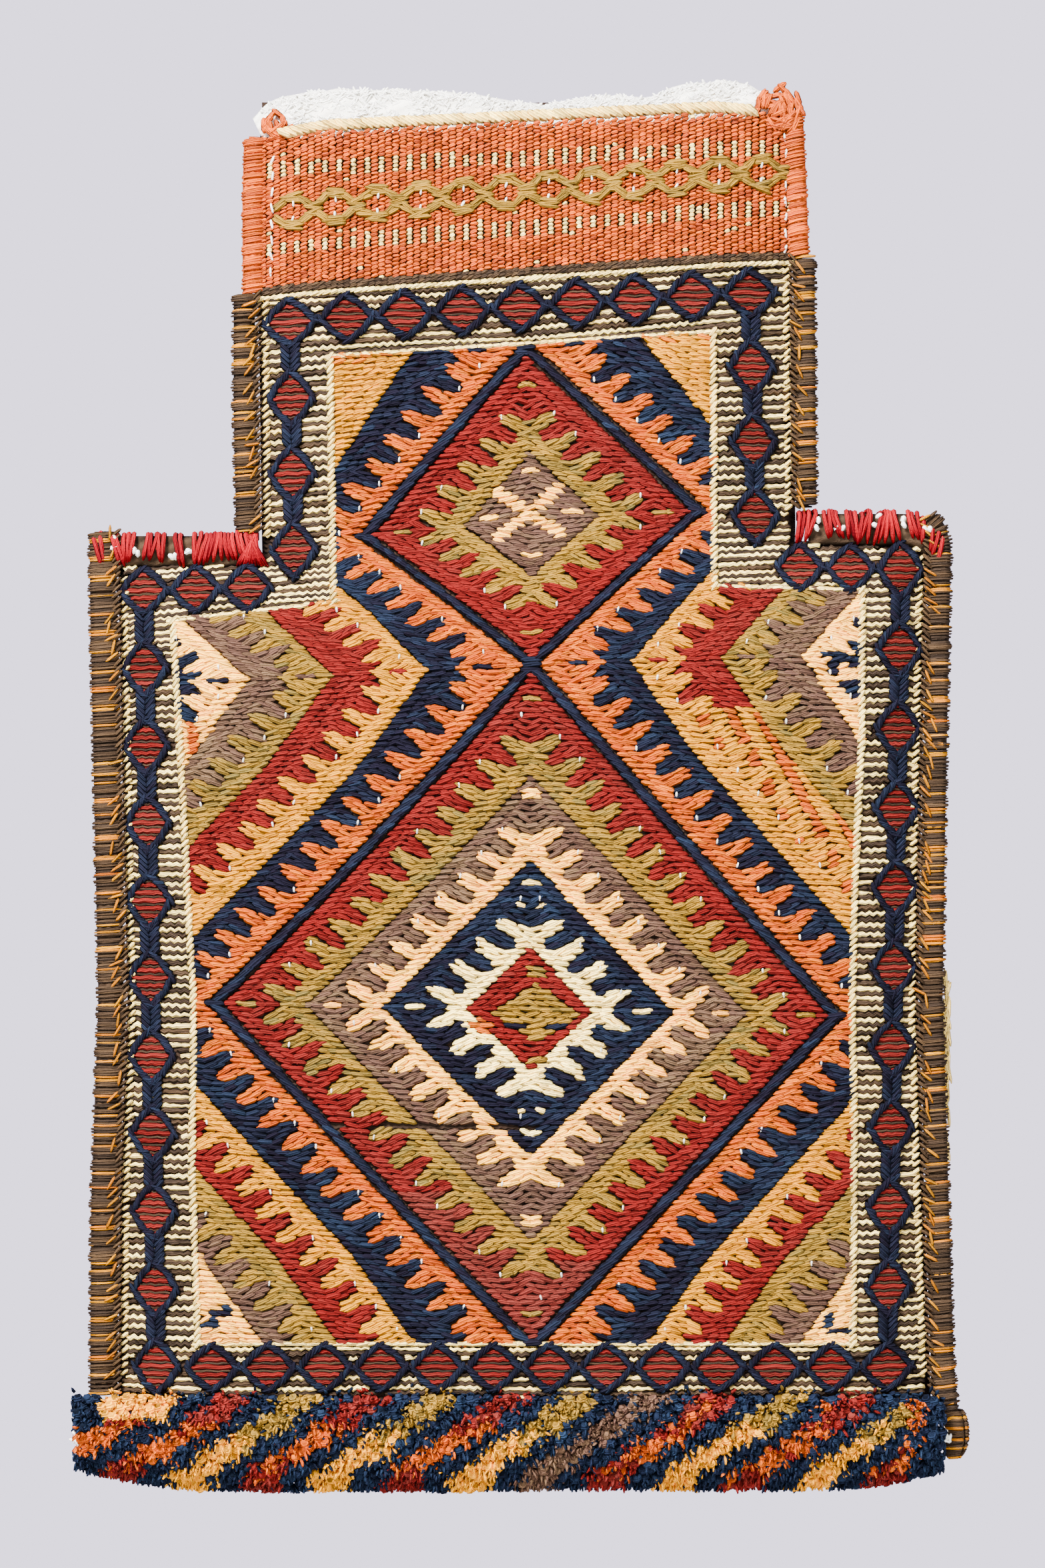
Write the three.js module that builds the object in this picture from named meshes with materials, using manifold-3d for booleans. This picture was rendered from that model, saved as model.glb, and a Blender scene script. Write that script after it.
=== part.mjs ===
// Flat-woven salt bag with a narrow neck and wide shoulders, lying on its back.
// Lengths are millimetres. X runs across the bag, Y towards its mouth, and Z up from the floor.
// The cloth is one folded piece. Each field of wrapped yarn on its face is a thin solid of its own.
import * as THREE from 'three';
import { mergeVertices } from 'three/addons/utils/BufferGeometryUtils.js';
import Module from 'manifold-3d';

const wasm = await Module();
wasm.setup();

// Thicknesses and heights
const BACK_WALL = 2.6;
const POCKET_HEIGHT = 7.8;
const FRONT_WALL = 3;
const FACE_HEIGHT = BACK_WALL + POCKET_HEIGHT + FRONT_WALL;
const EDGE_HEIGHT = 4.6;
const POCKET_EDGE_HEIGHT = 3.1;
const CLEARANCE = 0.3;
const WRAPPED_YARN = 1.5;
const CHAIN_YARN = 1.2;
const TALL = 40;

// Outline of the cloth, and of the raised middle of its face, corner by corner from the mouth's left
const EDGE = [
  [-102.4, 266], [-103.2, 194.5], [-102.6, 167], [-101.4, 86.6], [-157.6, 86.6], [-155.7, -5.7],
  [-153.9, -83.7], [-157, -161.7], [-157.6, -264.4], [158.3, -264.4], [155, -161.7],
  [152.6, -83.7], [153.7, -5.7], [156.3, 94.4], [104.8, 94.4], [103.8, 180], [101.7, 266],
];
const RAISED = [
  [-77, 266], [-77, 194.5], [-76.5, 167], [-73.8, 68], [-136.5, 64], [-132.3, -5.7],
  [-128.4, -83.7], [-128, -161.7], [-128, -238], [128, -238], [127.7, -161.7],
  [126.9, -83.7], [129.5, -5.7], [130.8, 75.5], [73.4, 75.5], [73.5, 180], [73.5, 266],
];
const MOUTH_POINTS = [0, EDGE.length - 1];
const SEAM_SHARE = 0.25;
const PAST_MOUTH = 300;

// The front wall's lip is lower on the left, and the back wall stands above it
const LIP_LEFT = { x: -102.4, y: 250.5 };
const LIP_RIGHT = { x: 101.7, y: 259.8 };

// Field of wrapped yarn inside the border
const FIELD = [
  [-75.2, 165.8], [-73.9, 70.8], [-136, 63.6], [-132.8, 7.3], [-129.7, -55.1], [-128, -83.7],
  [-128.6, -148.7], [-126.4, -216], [126.9, -216], [127.4, -135.7], [126.6, -83.7],
  [127.8, -31.7], [130.4, 20.3], [130.4, 75.6], [73.3, 77], [72.9, 175.4],
];

// Pattern grid. One step is one hook of the pattern, about 8 mm. The rows are not quite level,
// so each line gives the middle of a row, the width of a step and its rise on either side.
const ROWS = [
  { v: 18, x: 0, y: 186.3, left: 8.06, right: 8.06, fall: 0.39, rise: 0.7 },
  { v: 16, x: 0.3, y: 169.3, left: 8.06, right: 8.06, fall: 0.39, rise: 0.7 },
  { v: 8, x: 2.6, y: 103, left: 8.03, right: 8.06, fall: 0.85, rise: 0.39 },
  { v: 0, x: 2.6, y: 46.8, left: 7.93, right: 7.57, fall: 0.42, rise: 0.26 },
  { v: -15, x: 2.1, y: -86.6, left: 8.14, right: 7.88, fall: -0.16, rise: -0.17 },
  { v: -30, x: 2.6, y: -217.6, left: 8.06, right: 8.06, fall: 0, rise: 0 },
  { v: -32, x: 2.6, y: -235, left: 8.06, right: 8.06, fall: 0, rise: 0 },
];
const UPPER = { v: 8, radius: 8 };
const LOWER = { v: -15, radius: 15 };
const LINE_HALF = 0.35;
const GROOVE = 0.06;
const TOOTH = 0.65;
const FIELD_TOP = 17.6;
const FIELD_FOOT = -31.6;
const FAR_OUT = 30;

// Rows where the bands leave the field at its left and right edges
const TOP_BANDS = [FIELD_TOP, UPPER.v + 2];
const MIDDLE_BANDS = [UPPER.v - 2, LOWER.v + 2];
const FOOT_BANDS = [LOWER.v - 2, FIELD_FOOT];

// Distance of each band's two edges from the navy line, in pattern steps
const BANDS = {
  salmon: [LINE_HALF, 2.4],
  navy: [2.4, 4.3],
  gold: [4.3, 6.6],
  red: [6.6, 8.8],
  olive: [8.8, 11],
  taupe: [11, 13],
  peach: [13, FAR_OUT],
};
const TOOTHED_EDGE = 2.4;

const YARN = {
  navy: [0x1d2742, 0.9],
  red: [0xa8321f, 0.9],
  salmon: [0xd9764a, 0.9],
  gold: [0xdc9f42, 0.88],
  olive: [0xad9848, 0.9],
  taupe: [0x7f6650, 0.92],
  peach: [0xe8b98b, 0.9],
  cream: [0xe9d7b0, 0.92],
  ground: [0xa48d70, 0.95],
  goatHair: [0x5a4331, 0.92],
  brightRed: [0xcc2a30, 0.85],
};

const group = new THREE.Group();

function piece(name, yarn, geometry) {
  const [color, roughness] = YARN[yarn];
  const material = new THREE.MeshStandardMaterial({ color, roughness, metalness: 0 });
  const mesh = new THREE.Mesh(geometry, material);
  mesh.name = name;
  group.add(mesh);
}

// A closed solid through a row of like rings, with flat ends. flatten gives a ring's point in the
// plane of its end.
function solidThrough(rings, flatten) {
  const count = rings[0].length;
  const faces = [];
  for (let i = 0; i + 1 < rings.length; i += 1) {
    for (let j = 0; j < count; j += 1) {
      const here = i * count + j;
      const next = i * count + ((j + 1) % count);
      faces.push([here, next, next + count], [here, next + count, here + count]);
    }
  }
  const last = rings.length - 1;
  for (const end of [0, last]) {
    const outline = rings[end].map((point) => new THREE.Vector2(...flatten(point)));
    const turn = THREE.ShapeUtils.area(outline) > 0;
    for (const [a, b, c] of THREE.ShapeUtils.triangulateShape(outline, [])) {
      const faceTurn = THREE.ShapeUtils.area([outline[a], outline[b], outline[c]]) > 0;
      const face = faceTurn === turn ? [a, b, c] : [a, c, b];
      if (end === 0) {
        face.reverse();
      }
      faces.push(face.map((k) => end * count + k));
    }
  }
  const points = rings.flat().map((point) => new THREE.Vector3(...point));
  let volume = 0;
  for (const [a, b, c] of faces) {
    volume += points[a].dot(points[b].clone().cross(points[c]));
  }
  if (volume < 0) {
    faces.forEach((face) => face.reverse());
  }
  const geometry = new THREE.BufferGeometry().setFromPoints(points);
  geometry.setIndex(faces.flat());
  return geometry;
}

const fromAbove = ([x, y]) => [x, y];
const fromSide = ([, y, z]) => [y, z];
const fromFoot = ([x, , z]) => [x, z];

function ringAt(outline, z) {
  return outline.map(([x, y]) => [x, y, z]);
}

function toSolid(geometry) {
  const bare = geometry.clone();
  bare.deleteAttribute('normal');
  bare.deleteAttribute('uv');
  const merged = mergeVertices(bare, 0.0001);
  return new wasm.Manifold(new wasm.Mesh({
    numProp: 3,
    vertProperties: new Float32Array(merged.attributes.position.array),
    triVerts: new Uint32Array(merged.index.array),
  }));
}

function toGeometry(solid) {
  const { vertProperties, triVerts } = solid.getMesh();
  const geometry = new THREE.BufferGeometry();
  geometry.setAttribute('position', new THREE.BufferAttribute(vertProperties, 3));
  geometry.setIndex(new THREE.BufferAttribute(triVerts, 1));
  return geometry;
}

function prism(outline, holes = [], low = 0, high = TALL) {
  const corners = outline.map(([x, y]) => new THREE.Vector2(x, y));
  if (THREE.ShapeUtils.isClockWise(corners)) {
    corners.reverse();
  }
  const shape = new THREE.Shape(corners);
  for (const hole of holes) {
    shape.holes.push(new THREE.Path(hole.map(([x, y]) => new THREE.Vector2(x, y))));
  }
  const geometry = new THREE.ExtrudeGeometry(shape, { depth: high - low, bevelEnabled: false });
  geometry.translate(0, 0, low);
  return toSolid(geometry);
}

// Folded cloth: flat back wall, pocket, and a front wall that is raised inside the borders
function cloth() {
  const body = toSolid(solidThrough(
    [ringAt(EDGE, 0), ringAt(EDGE, EDGE_HEIGHT), ringAt(RAISED, FACE_HEIGHT)],
    fromAbove,
  ));
  const pocketEdge = EDGE.map(([x, y], i) => {
    const [innerX, innerY] = RAISED[i];
    const inX = x + (innerX - x) * SEAM_SHARE;
    const inY = y + (innerY - y) * SEAM_SHARE;
    return [inX, MOUTH_POINTS.includes(i) ? PAST_MOUTH : inY];
  });
  const pocketRoof = RAISED.map(([x, y], i) => [x, MOUTH_POINTS.includes(i) ? PAST_MOUTH : y]);
  const pocket = toSolid(solidThrough(
    [
      ringAt(pocketEdge, BACK_WALL),
      ringAt(pocketEdge, POCKET_EDGE_HEIGHT),
      ringAt(pocketRoof, FACE_HEIGHT - FRONT_WALL),
    ],
    fromAbove,
  ));
  const pastLip = prism(
    [
      [LIP_LEFT.x - 20, LIP_LEFT.y],
      [LIP_RIGHT.x + 20, LIP_RIGHT.y],
      [LIP_RIGHT.x + 20, PAST_MOUTH],
      [LIP_LEFT.x - 20, PAST_MOUTH],
    ],
    [],
    BACK_WALL,
  );
  return body.subtract(pocket).subtract(pastLip);
}

// A layer of even thickness that follows the cloth's face from above
function layer(thickness) {
  const low = CLEARANCE;
  const high = CLEARANCE + thickness;
  return toSolid(solidThrough(
    [
      ringAt(RAISED, FACE_HEIGHT + high),
      ringAt(EDGE, EDGE_HEIGHT + high),
      ringAt(EDGE, EDGE_HEIGHT + low),
      ringAt(RAISED, FACE_HEIGHT + low),
    ],
    fromAbove,
  ));
}

// Place of a point of the pattern grid on the cloth
function lay([u, v]) {
  let k = 0;
  while (k + 2 < ROWS.length && v < ROWS[k + 1].v) {
    k += 1;
  }
  const above = ROWS[k];
  const below = ROWS[k + 1];
  const share = (above.v - v) / (above.v - below.v);
  const mix = (key) => above[key] + (below[key] - above[key]) * share;
  const step = u < 0 ? mix('left') : mix('right');
  const lift = u < 0 ? mix('fall') : mix('rise');
  return [mix('x') + u * step, mix('y') + u * lift];
}

// An outline on the grid takes a corner wherever it crosses a row, then is laid on the cloth
function layOutline(points) {
  const bent = [];
  points.forEach(([u, v], i) => {
    const [nextU, nextV] = points[(i + 1) % points.length];
    const crossed = ROWS.map((row) => (row.v - v) / (nextV - v))
      .filter((share) => share > 0.001 && share < 0.999)
      .sort((a, b) => a - b);
    bent.push([u, v]);
    for (const share of crossed) {
      bent.push([u + (nextU - u) * share, v + (nextV - v) * share]);
    }
  });
  return bent.map(lay);
}

// Half width of the navy diamonds at a row
function diamondHalf(v) {
  const diamond = v >= 0 ? UPPER : LOWER;
  return diamond.radius - Math.abs(v - diamond.v);
}

// Line that runs beside the navy diamonds at a set distance, from one row down to another
function besideLine(side, distance, top, foot) {
  const points = [];
  const toothed = distance === TOOTHED_EDGE;
  const step = toothed ? 0.5 : 1;
  for (let v = top; v > foot; v = Math.min(v - 0.01, Math.ceil(v / step - 1) * step)) {
    const corner = [top, UPPER.v, 0, LOWER.v].includes(v);
    if (toothed || corner) {
      points.push(v);
    }
  }
  points.push(foot);
  return points.map((v) => {
    const swing = Number.isInteger(v) ? TOOTH : -TOOTH;
    return [side * (diamondHalf(v) + distance + (toothed ? swing : 0)), v];
  });
}

function band(side, colour, top, foot) {
  const [inner, outer] = BANDS[colour];
  const shift = (line, by) => line.map(([u, v]) => [u + side * by, v]);
  const innerLine = shift(besideLine(side, inner, top, foot), GROOVE);
  const outerLine = shift(besideLine(side, outer, top, foot), -GROOVE);
  return prism(layOutline([...innerLine, ...outerLine.reverse()]));
}

// All that lies beyond a band's inner edge, out to the corner of the field
function corner(side, colour, top, foot) {
  const inner = besideLine(side, BANDS[colour][0] + GROOVE, top, foot);
  return prism(layOutline([...inner, [side * FAR_OUT, foot], [side * FAR_OUT, top]]));
}

// Diamond about a row, plain or with one tooth to each step
function diamond(row, radius, toothed = false) {
  const teeth = toothed ? Math.round(radius) : 0;
  const corners = [[0, 1], [1, 0], [0, -1], [-1, 0]];
  const points = [];
  corners.forEach(([fromU, fromV], i) => {
    const [toU, toV] = corners[(i + 1) % corners.length];
    const steps = Math.max(1, teeth * 2);
    for (let k = 0; k < steps; k += 1) {
      const swing = k % 2 === 0 ? TOOTH : -TOOTH;
      const reach = radius + (toothed ? swing : 0);
      const along = k / steps;
      points.push([
        (fromU + (toU - fromU) * along) * reach,
        row + (fromV + (toV - fromV) * along) * reach,
      ]);
    }
  });
  return points;
}

function ring(row, outer, inner, outerToothed, innerToothed) {
  const outline = layOutline(diamond(row, outer - GROOVE, outerToothed));
  const hole = inner > 0 ? [layOutline(diamond(row, inner + GROOVE, innerToothed))] : [];
  return prism(outline, hole);
}

const faceLayer = layer(WRAPPED_YARN);
const fieldLayer = faceLayer.intersect(prism(FIELD));

function field(name, yarn, shape) {
  piece(name, yarn, toGeometry(fieldLayer.intersect(shape)));
}

function yarnFields() {
  const lineAround = ({ v, radius }) => prism(
    layOutline(diamond(v, radius + LINE_HALF)),
    [layOutline(diamond(v, radius - LINE_HALF))],
  );
  field('navy_lattice', 'navy', lineAround(UPPER).add(lineAround(LOWER)));

  const inUpper = UPPER.radius - LINE_HALF;
  field('upper_red_diamond', 'red', ring(UPPER.v, inUpper, 5.2, false, true));
  field('upper_olive_diamond', 'olive', ring(UPPER.v, 5.2, 3.2, true, false));
  const cross = [
    [0, 0.5], [1.1, 1.6], [1.6, 1.1], [0.5, 0], [1.6, -1.1], [1.1, -1.6],
    [0, -0.5], [-1.1, -1.6], [-1.6, -1.1], [-0.5, 0], [-1.6, 1.1], [-1.1, 1.6],
  ];
  const crossAt = (grow) => layOutline(cross.map(([u, v]) => [u * grow, UPPER.v + v * grow]));
  const centre = prism(layOutline(diamond(UPPER.v, 3.2 - GROOVE)), [crossAt(1.12)]);
  field('upper_taupe_diamond', 'taupe', centre);
  field('upper_peach_cross', 'peach', prism(crossAt(1)));

  const inLower = LOWER.radius - LINE_HALF;
  const rings = [
    ['lower_red_diamond', 'red', inLower, 12.4, false, true],
    ['lower_olive_diamond', 'olive', 12.4, 10.2, true, false],
    ['lower_taupe_diamond', 'taupe', 10.2, 8.3, false, false],
    ['lower_peach_diamond', 'peach', 8.3, 6.4, false, false],
    ['inner_navy_diamond', 'navy', 6.4, 4.4, false, true],
    ['inner_cream_diamond', 'cream', 4.4, 2.7, true, false],
    ['inner_red_diamond', 'red', 2.7, 1.4, false, false],
    ['inner_olive_diamond', 'olive', 1.4, 0, false, false],
  ];
  for (const [name, yarn, outer, inner, outerToothed, innerToothed] of rings) {
    field(name, yarn, ring(LOWER.v, outer, inner, outerToothed, innerToothed));
  }

  for (const [word, side] of [['left', -1], ['right', 1]]) {
    field(`${word}_salmon_zigzag`, 'salmon', band(side, 'salmon', FIELD_TOP, FIELD_FOOT));
    field(`${word}_navy_top`, 'navy', band(side, 'navy', ...TOP_BANDS));
    field(`${word}_gold_top`, 'gold', corner(side, 'gold', ...TOP_BANDS));
    for (const yarn of ['navy', 'gold', 'red', 'olive', 'taupe', 'peach']) {
      field(`${word}_${yarn}_middle`, yarn, band(side, yarn, ...MIDDLE_BANDS));
    }
    for (const yarn of ['navy', 'gold', 'red']) {
      field(`${word}_${yarn}_foot`, yarn, band(side, yarn, ...FOOT_BANDS));
    }
    field(`${word}_olive_foot`, 'olive', corner(side, 'olive', ...FOOT_BANDS));
  }
}

// Chain of linked lozenges along the middle of the border. Each run goes from corner to corner.
const LOZENGE_HALF = 7.6;
const LOZENGE_HOLE = 0.52;
const LINK_OVERLAP = 0.7;
const LINK_HALF = 3.2;
const LINK_REACH = 0.7;
const CHAIN_RUNS = [
  { from: [-90, 181.5], to: [87.4, 192.7], count: 9 },
  { from: [-90, 181.5], to: [-89.4, 91.3], count: 4, skipFirst: true },
  { from: [-107.4, 76.6], to: [-147.6, 75.4], count: 3 },
  { from: [-147.6, 75.4], to: [-142.6, -225], count: 11, skipFirst: true, skipLast: true },
  { from: [-142.6, -225], to: [140.4, -225], count: 14 },
  { from: [145.9, 83.7], to: [140.4, -225], count: 11, skipFirst: true, skipLast: true },
  { from: [106.6, 84.6], to: [145.9, 83.7], count: 3 },
  { from: [87.4, 192.7], to: [89.4, 104.5], count: 4, skipFirst: true },
];
const SHOULDER_LINKS = [
  [[-89.4, 91.3], [-107.4, 76.6]],
  [[89.4, 104.5], [106.6, 84.6]],
];

function lozenge([x, y], [alongX, alongY], halfLength, halfWidth) {
  return [
    [x + alongX * halfLength, y + alongY * halfLength],
    [x - alongY * halfWidth, y + alongX * halfWidth],
    [x - alongX * halfLength, y - alongY * halfLength],
    [x + alongY * halfWidth, y - alongX * halfWidth],
  ];
}

function direction([fromX, fromY], [toX, toY]) {
  const length = Math.hypot(toX - fromX, toY - fromY);
  return { length, along: [(toX - fromX) / length, (toY - fromY) / length] };
}

function linkBetween(from, to) {
  const { length, along } = direction(from, to);
  const middle = [(from[0] + to[0]) / 2, (from[1] + to[1]) / 2];
  return prism(lozenge(middle, along, length * LINK_REACH, LINK_HALF));
}

function borderChain() {
  const outlines = SHOULDER_LINKS.map(([from, to]) => linkBetween(from, to));
  const holes = [];
  for (const { from, to, count, skipFirst = false, skipLast = false } of CHAIN_RUNS) {
    const { length, along } = direction(from, to);
    const pitch = length / (count - 1);
    const half = pitch / 2 + LINK_OVERLAP;
    const holeHalf = Math.min(half, LOZENGE_HALF * 1.3) * LOZENGE_HOLE;
    const place = (k) => [from[0] + along[0] * pitch * k, from[1] + along[1] * pitch * k];
    for (let k = skipFirst ? 1 : 0; k < (skipLast ? count - 1 : count); k += 1) {
      outlines.push(prism(lozenge(place(k), along, half, LOZENGE_HALF)));
      holes.push(prism(lozenge(place(k), along, holeHalf, LOZENGE_HALF * LOZENGE_HOLE)));
    }
    if (skipFirst) {
      outlines.push(linkBetween(place(0), place(1)));
    }
    if (skipLast) {
      outlines.push(linkBetween(place(count - 2), place(count - 1)));
    }
  }
  const join = (shapes) => shapes.reduce((whole, shape) => whole.add(shape));
  return layer(CHAIN_YARN).intersect(join(outlines).subtract(join(holes)));
}

// A bar that follows a route, with a ridge for each strand that is wound round it. A third number
// in a route lifts the bar above its floor. flatten is for the plane its ends face.
function woundBar(route, { halfWidth, height, floor, strands, ridge, flatten }) {
  const curve = new THREE.CatmullRomCurve3(
    route.map(([x, y, lift = 0]) => new THREE.Vector3(x, y, lift)),
  );
  const sides = 6;
  const steps = strands * 2;
  const rings = [];
  for (let i = 0; i <= steps; i += 1) {
    const point = curve.getPointAt(i / steps);
    const tangent = curve.getTangentAt(i / steps).setZ(0).normalize();
    const swell = i % 2 === 0 ? 1 - ridge : 1;
    const section = [];
    for (let j = 0; j < sides; j += 1) {
      const angle = (j * 2 * Math.PI) / sides;
      const across = Math.cos(angle) * halfWidth * swell;
      const up = floor + point.z + (height / 2) * (1 + Math.sin(angle) * swell);
      section.push([point.x + tangent.y * across, point.y - tangent.x * across, up]);
    }
    rings.push(section);
  }
  return solidThrough(rings, flatten);
}

// Ribbed plain weave of the neck. It follows the cloth's face, so its ribs run towards the mouth.
const RIBS = 38;
const RIB_DEPTH = 0.55;
const NECK_WEAVE = 1.1;
const NECK_LEFT = { edge: -103.4, raised: -76.3, low: 194.6, high: 249.9 };
const NECK_RIGHT = { edge: 104, raised: 72.8, low: 205.4, high: 259.3 };
const NECK_INSET = 2.4;

function neckFace(x) {
  const left = (x - NECK_LEFT.edge) / (NECK_LEFT.raised - NECK_LEFT.edge);
  const right = (NECK_RIGHT.edge - x) / (NECK_RIGHT.edge - NECK_RIGHT.raised);
  const share = Math.min(1, left, right);
  return EDGE_HEIGHT + (FACE_HEIGHT - EDGE_HEIGHT) * share + CLEARANCE;
}

function neckWeave() {
  const from = NECK_LEFT.edge + NECK_INSET;
  const to = NECK_RIGHT.edge - NECK_INSET - 1;
  const stops = [NECK_LEFT.raised, NECK_RIGHT.raised];
  for (let i = 0; i <= RIBS * 2; i += 1) {
    stops.push(from + ((to - from) * i) / (RIBS * 2));
  }
  stops.sort((a, b) => a - b);
  const rings = stops.map((x, i) => {
    const share = (x - from) / (to - from);
    const low = NECK_LEFT.low + (NECK_RIGHT.low - NECK_LEFT.low) * share;
    const high = NECK_LEFT.high + (NECK_RIGHT.high - NECK_LEFT.high) * share;
    const base = neckFace(x);
    const top = base + NECK_WEAVE + (i % 2 === 0 ? 0 : RIB_DEPTH);
    return [[x, low, base], [x, high, base], [x, high, top], [x, low, top]];
  });
  return solidThrough(rings, fromSide);
}

// Olive chain that is wrapped across the middle of the neck's weave
const NECK_CHAIN = { from: [-68, 224.6], to: [66, 235.2], count: 9, halfWidth: 6, height: 0.9 };

function neckChain() {
  const { from, to, count, halfWidth, height } = NECK_CHAIN;
  const { length, along } = direction(from, to);
  const pitch = length / (count - 1);
  const low = FACE_HEIGHT + NECK_WEAVE + RIB_DEPTH + CLEARANCE * 2;
  let chain = null;
  for (let k = 0; k < count; k += 1) {
    const centre = [from[0] + along[0] * pitch * k, from[1] + along[1] * pitch * k];
    const outline = lozenge(centre, along, pitch / 2 + LINK_OVERLAP * 2, halfWidth);
    const hole = lozenge(centre, along, pitch * 0.26, halfWidth * 0.5);
    const link = prism(outline, [hole], low, low + height);
    chain = chain ? chain.add(link) : link;
  }
  return chain;
}

// Knotted pile across the foot. Its ridges lean to the right as the rows of knots do.
const PILE = { left: -174.5, right: 158.9, strands: 30, lean: 0.5, ridge: 1.1 };
const PILE_UNDER = [
  [-236.6, FACE_HEIGHT + 0.4], [-238.4, FACE_HEIGHT + 0.4], [-265, EDGE_HEIGHT + 0.5],
  [-265, 0.5], [-270.5, 0.5], [-274.5, 4.5],
];
const PILE_RIDGED = [
  [-272.5, 10], [-265, 14.8], [-254, 17.8], [-243, 18.6], [-236.6, 16.4],
];

function pileFoot() {
  const rings = [];
  const steps = PILE.strands * 2;
  for (let i = 0; i <= steps; i += 1) {
    const x = PILE.left + ((PILE.right - PILE.left) * i) / steps;
    const under = PILE_UNDER.map(([y, z]) => [x, y, z]);
    const ridged = PILE_RIDGED.map(([y, z], k) => {
      const phase = (i + k * PILE.lean) * Math.PI;
      return [x, y, z - PILE.ridge * (0.5 - 0.5 * Math.cos(phase))];
    });
    rings.push([...under, ...ridged]);
  }
  return solidThrough(rings, fromSide);
}

const KNOT = { x: 168.3, y: -254, z: 5.6, radius: 6.2, squash: 0.8 };

function cornerKnot() {
  const knot = new THREE.SphereGeometry(KNOT.radius, 12, 8);
  knot.scale(1, 1, KNOT.squash);
  knot.translate(KNOT.x, KNOT.y, KNOT.z);
  return knot;
}

piece('folded_cloth', 'ground', toGeometry(cloth()));
yarnFields();
piece('border_chain', 'navy', toGeometry(borderChain()));
piece('neck_plain_weave', 'salmon', neckWeave());
piece('neck_olive_chain', 'olive', toGeometry(neckChain()));

const UNDER_FLOOR_GAP = 0.4;

piece('mouth_cord', 'cream', woundBar(
  [
    [-99, 254.3, -7.6], [-77, 255.3, -0.2], [-50, 256.5], [0, 258.8], [50, 261.2],
    [74, 262.3, -0.2], [96, 263.3, -7.6],
  ],
  { halfWidth: 2.5, height: 4.8, floor: 10.6, strands: 20, ridge: 0.14, flatten: fromSide },
));
piece('back_lip', 'cream', woundBar(
  [[-97, 270.6], [97, 270.6]],
  {
    halfWidth: 3.9, height: 4.4, floor: UNDER_FLOOR_GAP, strands: 18, ridge: 0.1,
    flatten: fromSide,
  },
));

// Bindings at the sides and selvages at the mouth run from the mouth to the foot
const LENGTHWAYS = { floor: UNDER_FLOOR_GAP, flatten: fromFoot };
piece('left_side_binding', 'goatHair', woundBar(
  [
    [-164.6, 98], [-164.4, 70], [-162.6, -5.7], [-160.8, -83.7], [-163.9, -161.7],
    [-164.4, -235.6],
  ],
  { halfWidth: 6.3, height: 9.4, strands: 24, ridge: 0.12, ...LENGTHWAYS },
));
piece('right_side_binding', 'goatHair', woundBar(
  [
    [162, 107], [161.9, 94], [161.2, 70], [159.6, -5.7], [158.4, -83.7], [161, -161.7],
    [164, -225], [164.8, -246.4],
  ],
  { halfWidth: 5.2, height: 9.4, strands: 26, ridge: 0.12, ...LENGTHWAYS },
));
piece('left_neck_binding', 'goatHair', woundBar(
  [[-109, 193.4], [-109, 145], [-108, 99.4]],
  { halfWidth: 5.4, height: 9, strands: 8, ridge: 0.12, ...LENGTHWAYS },
));
piece('right_neck_binding', 'goatHair', woundBar(
  [[109, 204.6], [109.4, 150], [109.8, 109]],
  { halfWidth: 4.8, height: 9, strands: 8, ridge: 0.12, ...LENGTHWAYS },
));
piece('left_neck_selvage', 'salmon', woundBar(
  [[-106.6, 252], [-107, 225], [-107.4, 194.6]],
  { halfWidth: 3.6, height: 8, strands: 7, ridge: 0.08, ...LENGTHWAYS },
));
piece('right_neck_selvage', 'salmon', woundBar(
  [[105.6, 262], [106.8, 235], [107.8, 206]],
  { halfWidth: 3.4, height: 8, strands: 7, ridge: 0.08, ...LENGTHWAYS },
));

// Loops that close the shoulders
const CROSSWAYS = { floor: UNDER_FLOOR_GAP, flatten: fromSide };
piece('left_shoulder_stitching', 'brightRed', woundBar(
  [[-157.4, 92.6], [-130, 92.4], [-102, 92.6]],
  { halfWidth: 5.2, height: 8.4, strands: 10, ridge: 0.14, ...CROSSWAYS },
));
piece('right_shoulder_stitching', 'brightRed', woundBar(
  [[105.4, 101.2], [130, 101.1], [154.6, 101.2]],
  { halfWidth: 6, height: 8.4, strands: 10, ridge: 0.14, ...CROSSWAYS },
));

piece('pile_foot', 'navy', pileFoot());
piece('corner_knot', 'goatHair', cornerKnot());

export default group;
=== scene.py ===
"""Dresses the solids of a woven salt bag in wrapped, woven and knotted wool.

Lengths in the code are millimetres, and become metres where a mesh is made. X runs across the
bag, Y towards its mouth, and Z up from the floor.
"""
import zlib

import bpy
import numpy as np
from bpy.props import FloatProperty, FloatVectorProperty, PointerProperty
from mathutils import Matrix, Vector
from mathutils.geometry import delaunay_2d_cdt


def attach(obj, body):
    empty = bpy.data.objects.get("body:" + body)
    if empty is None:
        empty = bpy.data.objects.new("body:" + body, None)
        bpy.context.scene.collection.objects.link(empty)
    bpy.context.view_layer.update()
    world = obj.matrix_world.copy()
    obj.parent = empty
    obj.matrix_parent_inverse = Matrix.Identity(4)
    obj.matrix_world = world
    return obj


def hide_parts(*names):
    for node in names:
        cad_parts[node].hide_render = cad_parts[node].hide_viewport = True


bl_info = {
    "name": "Woven Salt Bag",
    "version": (1, 0, 0),
    "blender": (4, 5, 0),
    "location": "View3D > Sidebar > Salt Bag",
    "description": "Dresses the solids of a woven salt bag in wrapped, woven and knotted wool",
    "category": "Object",
}

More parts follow.
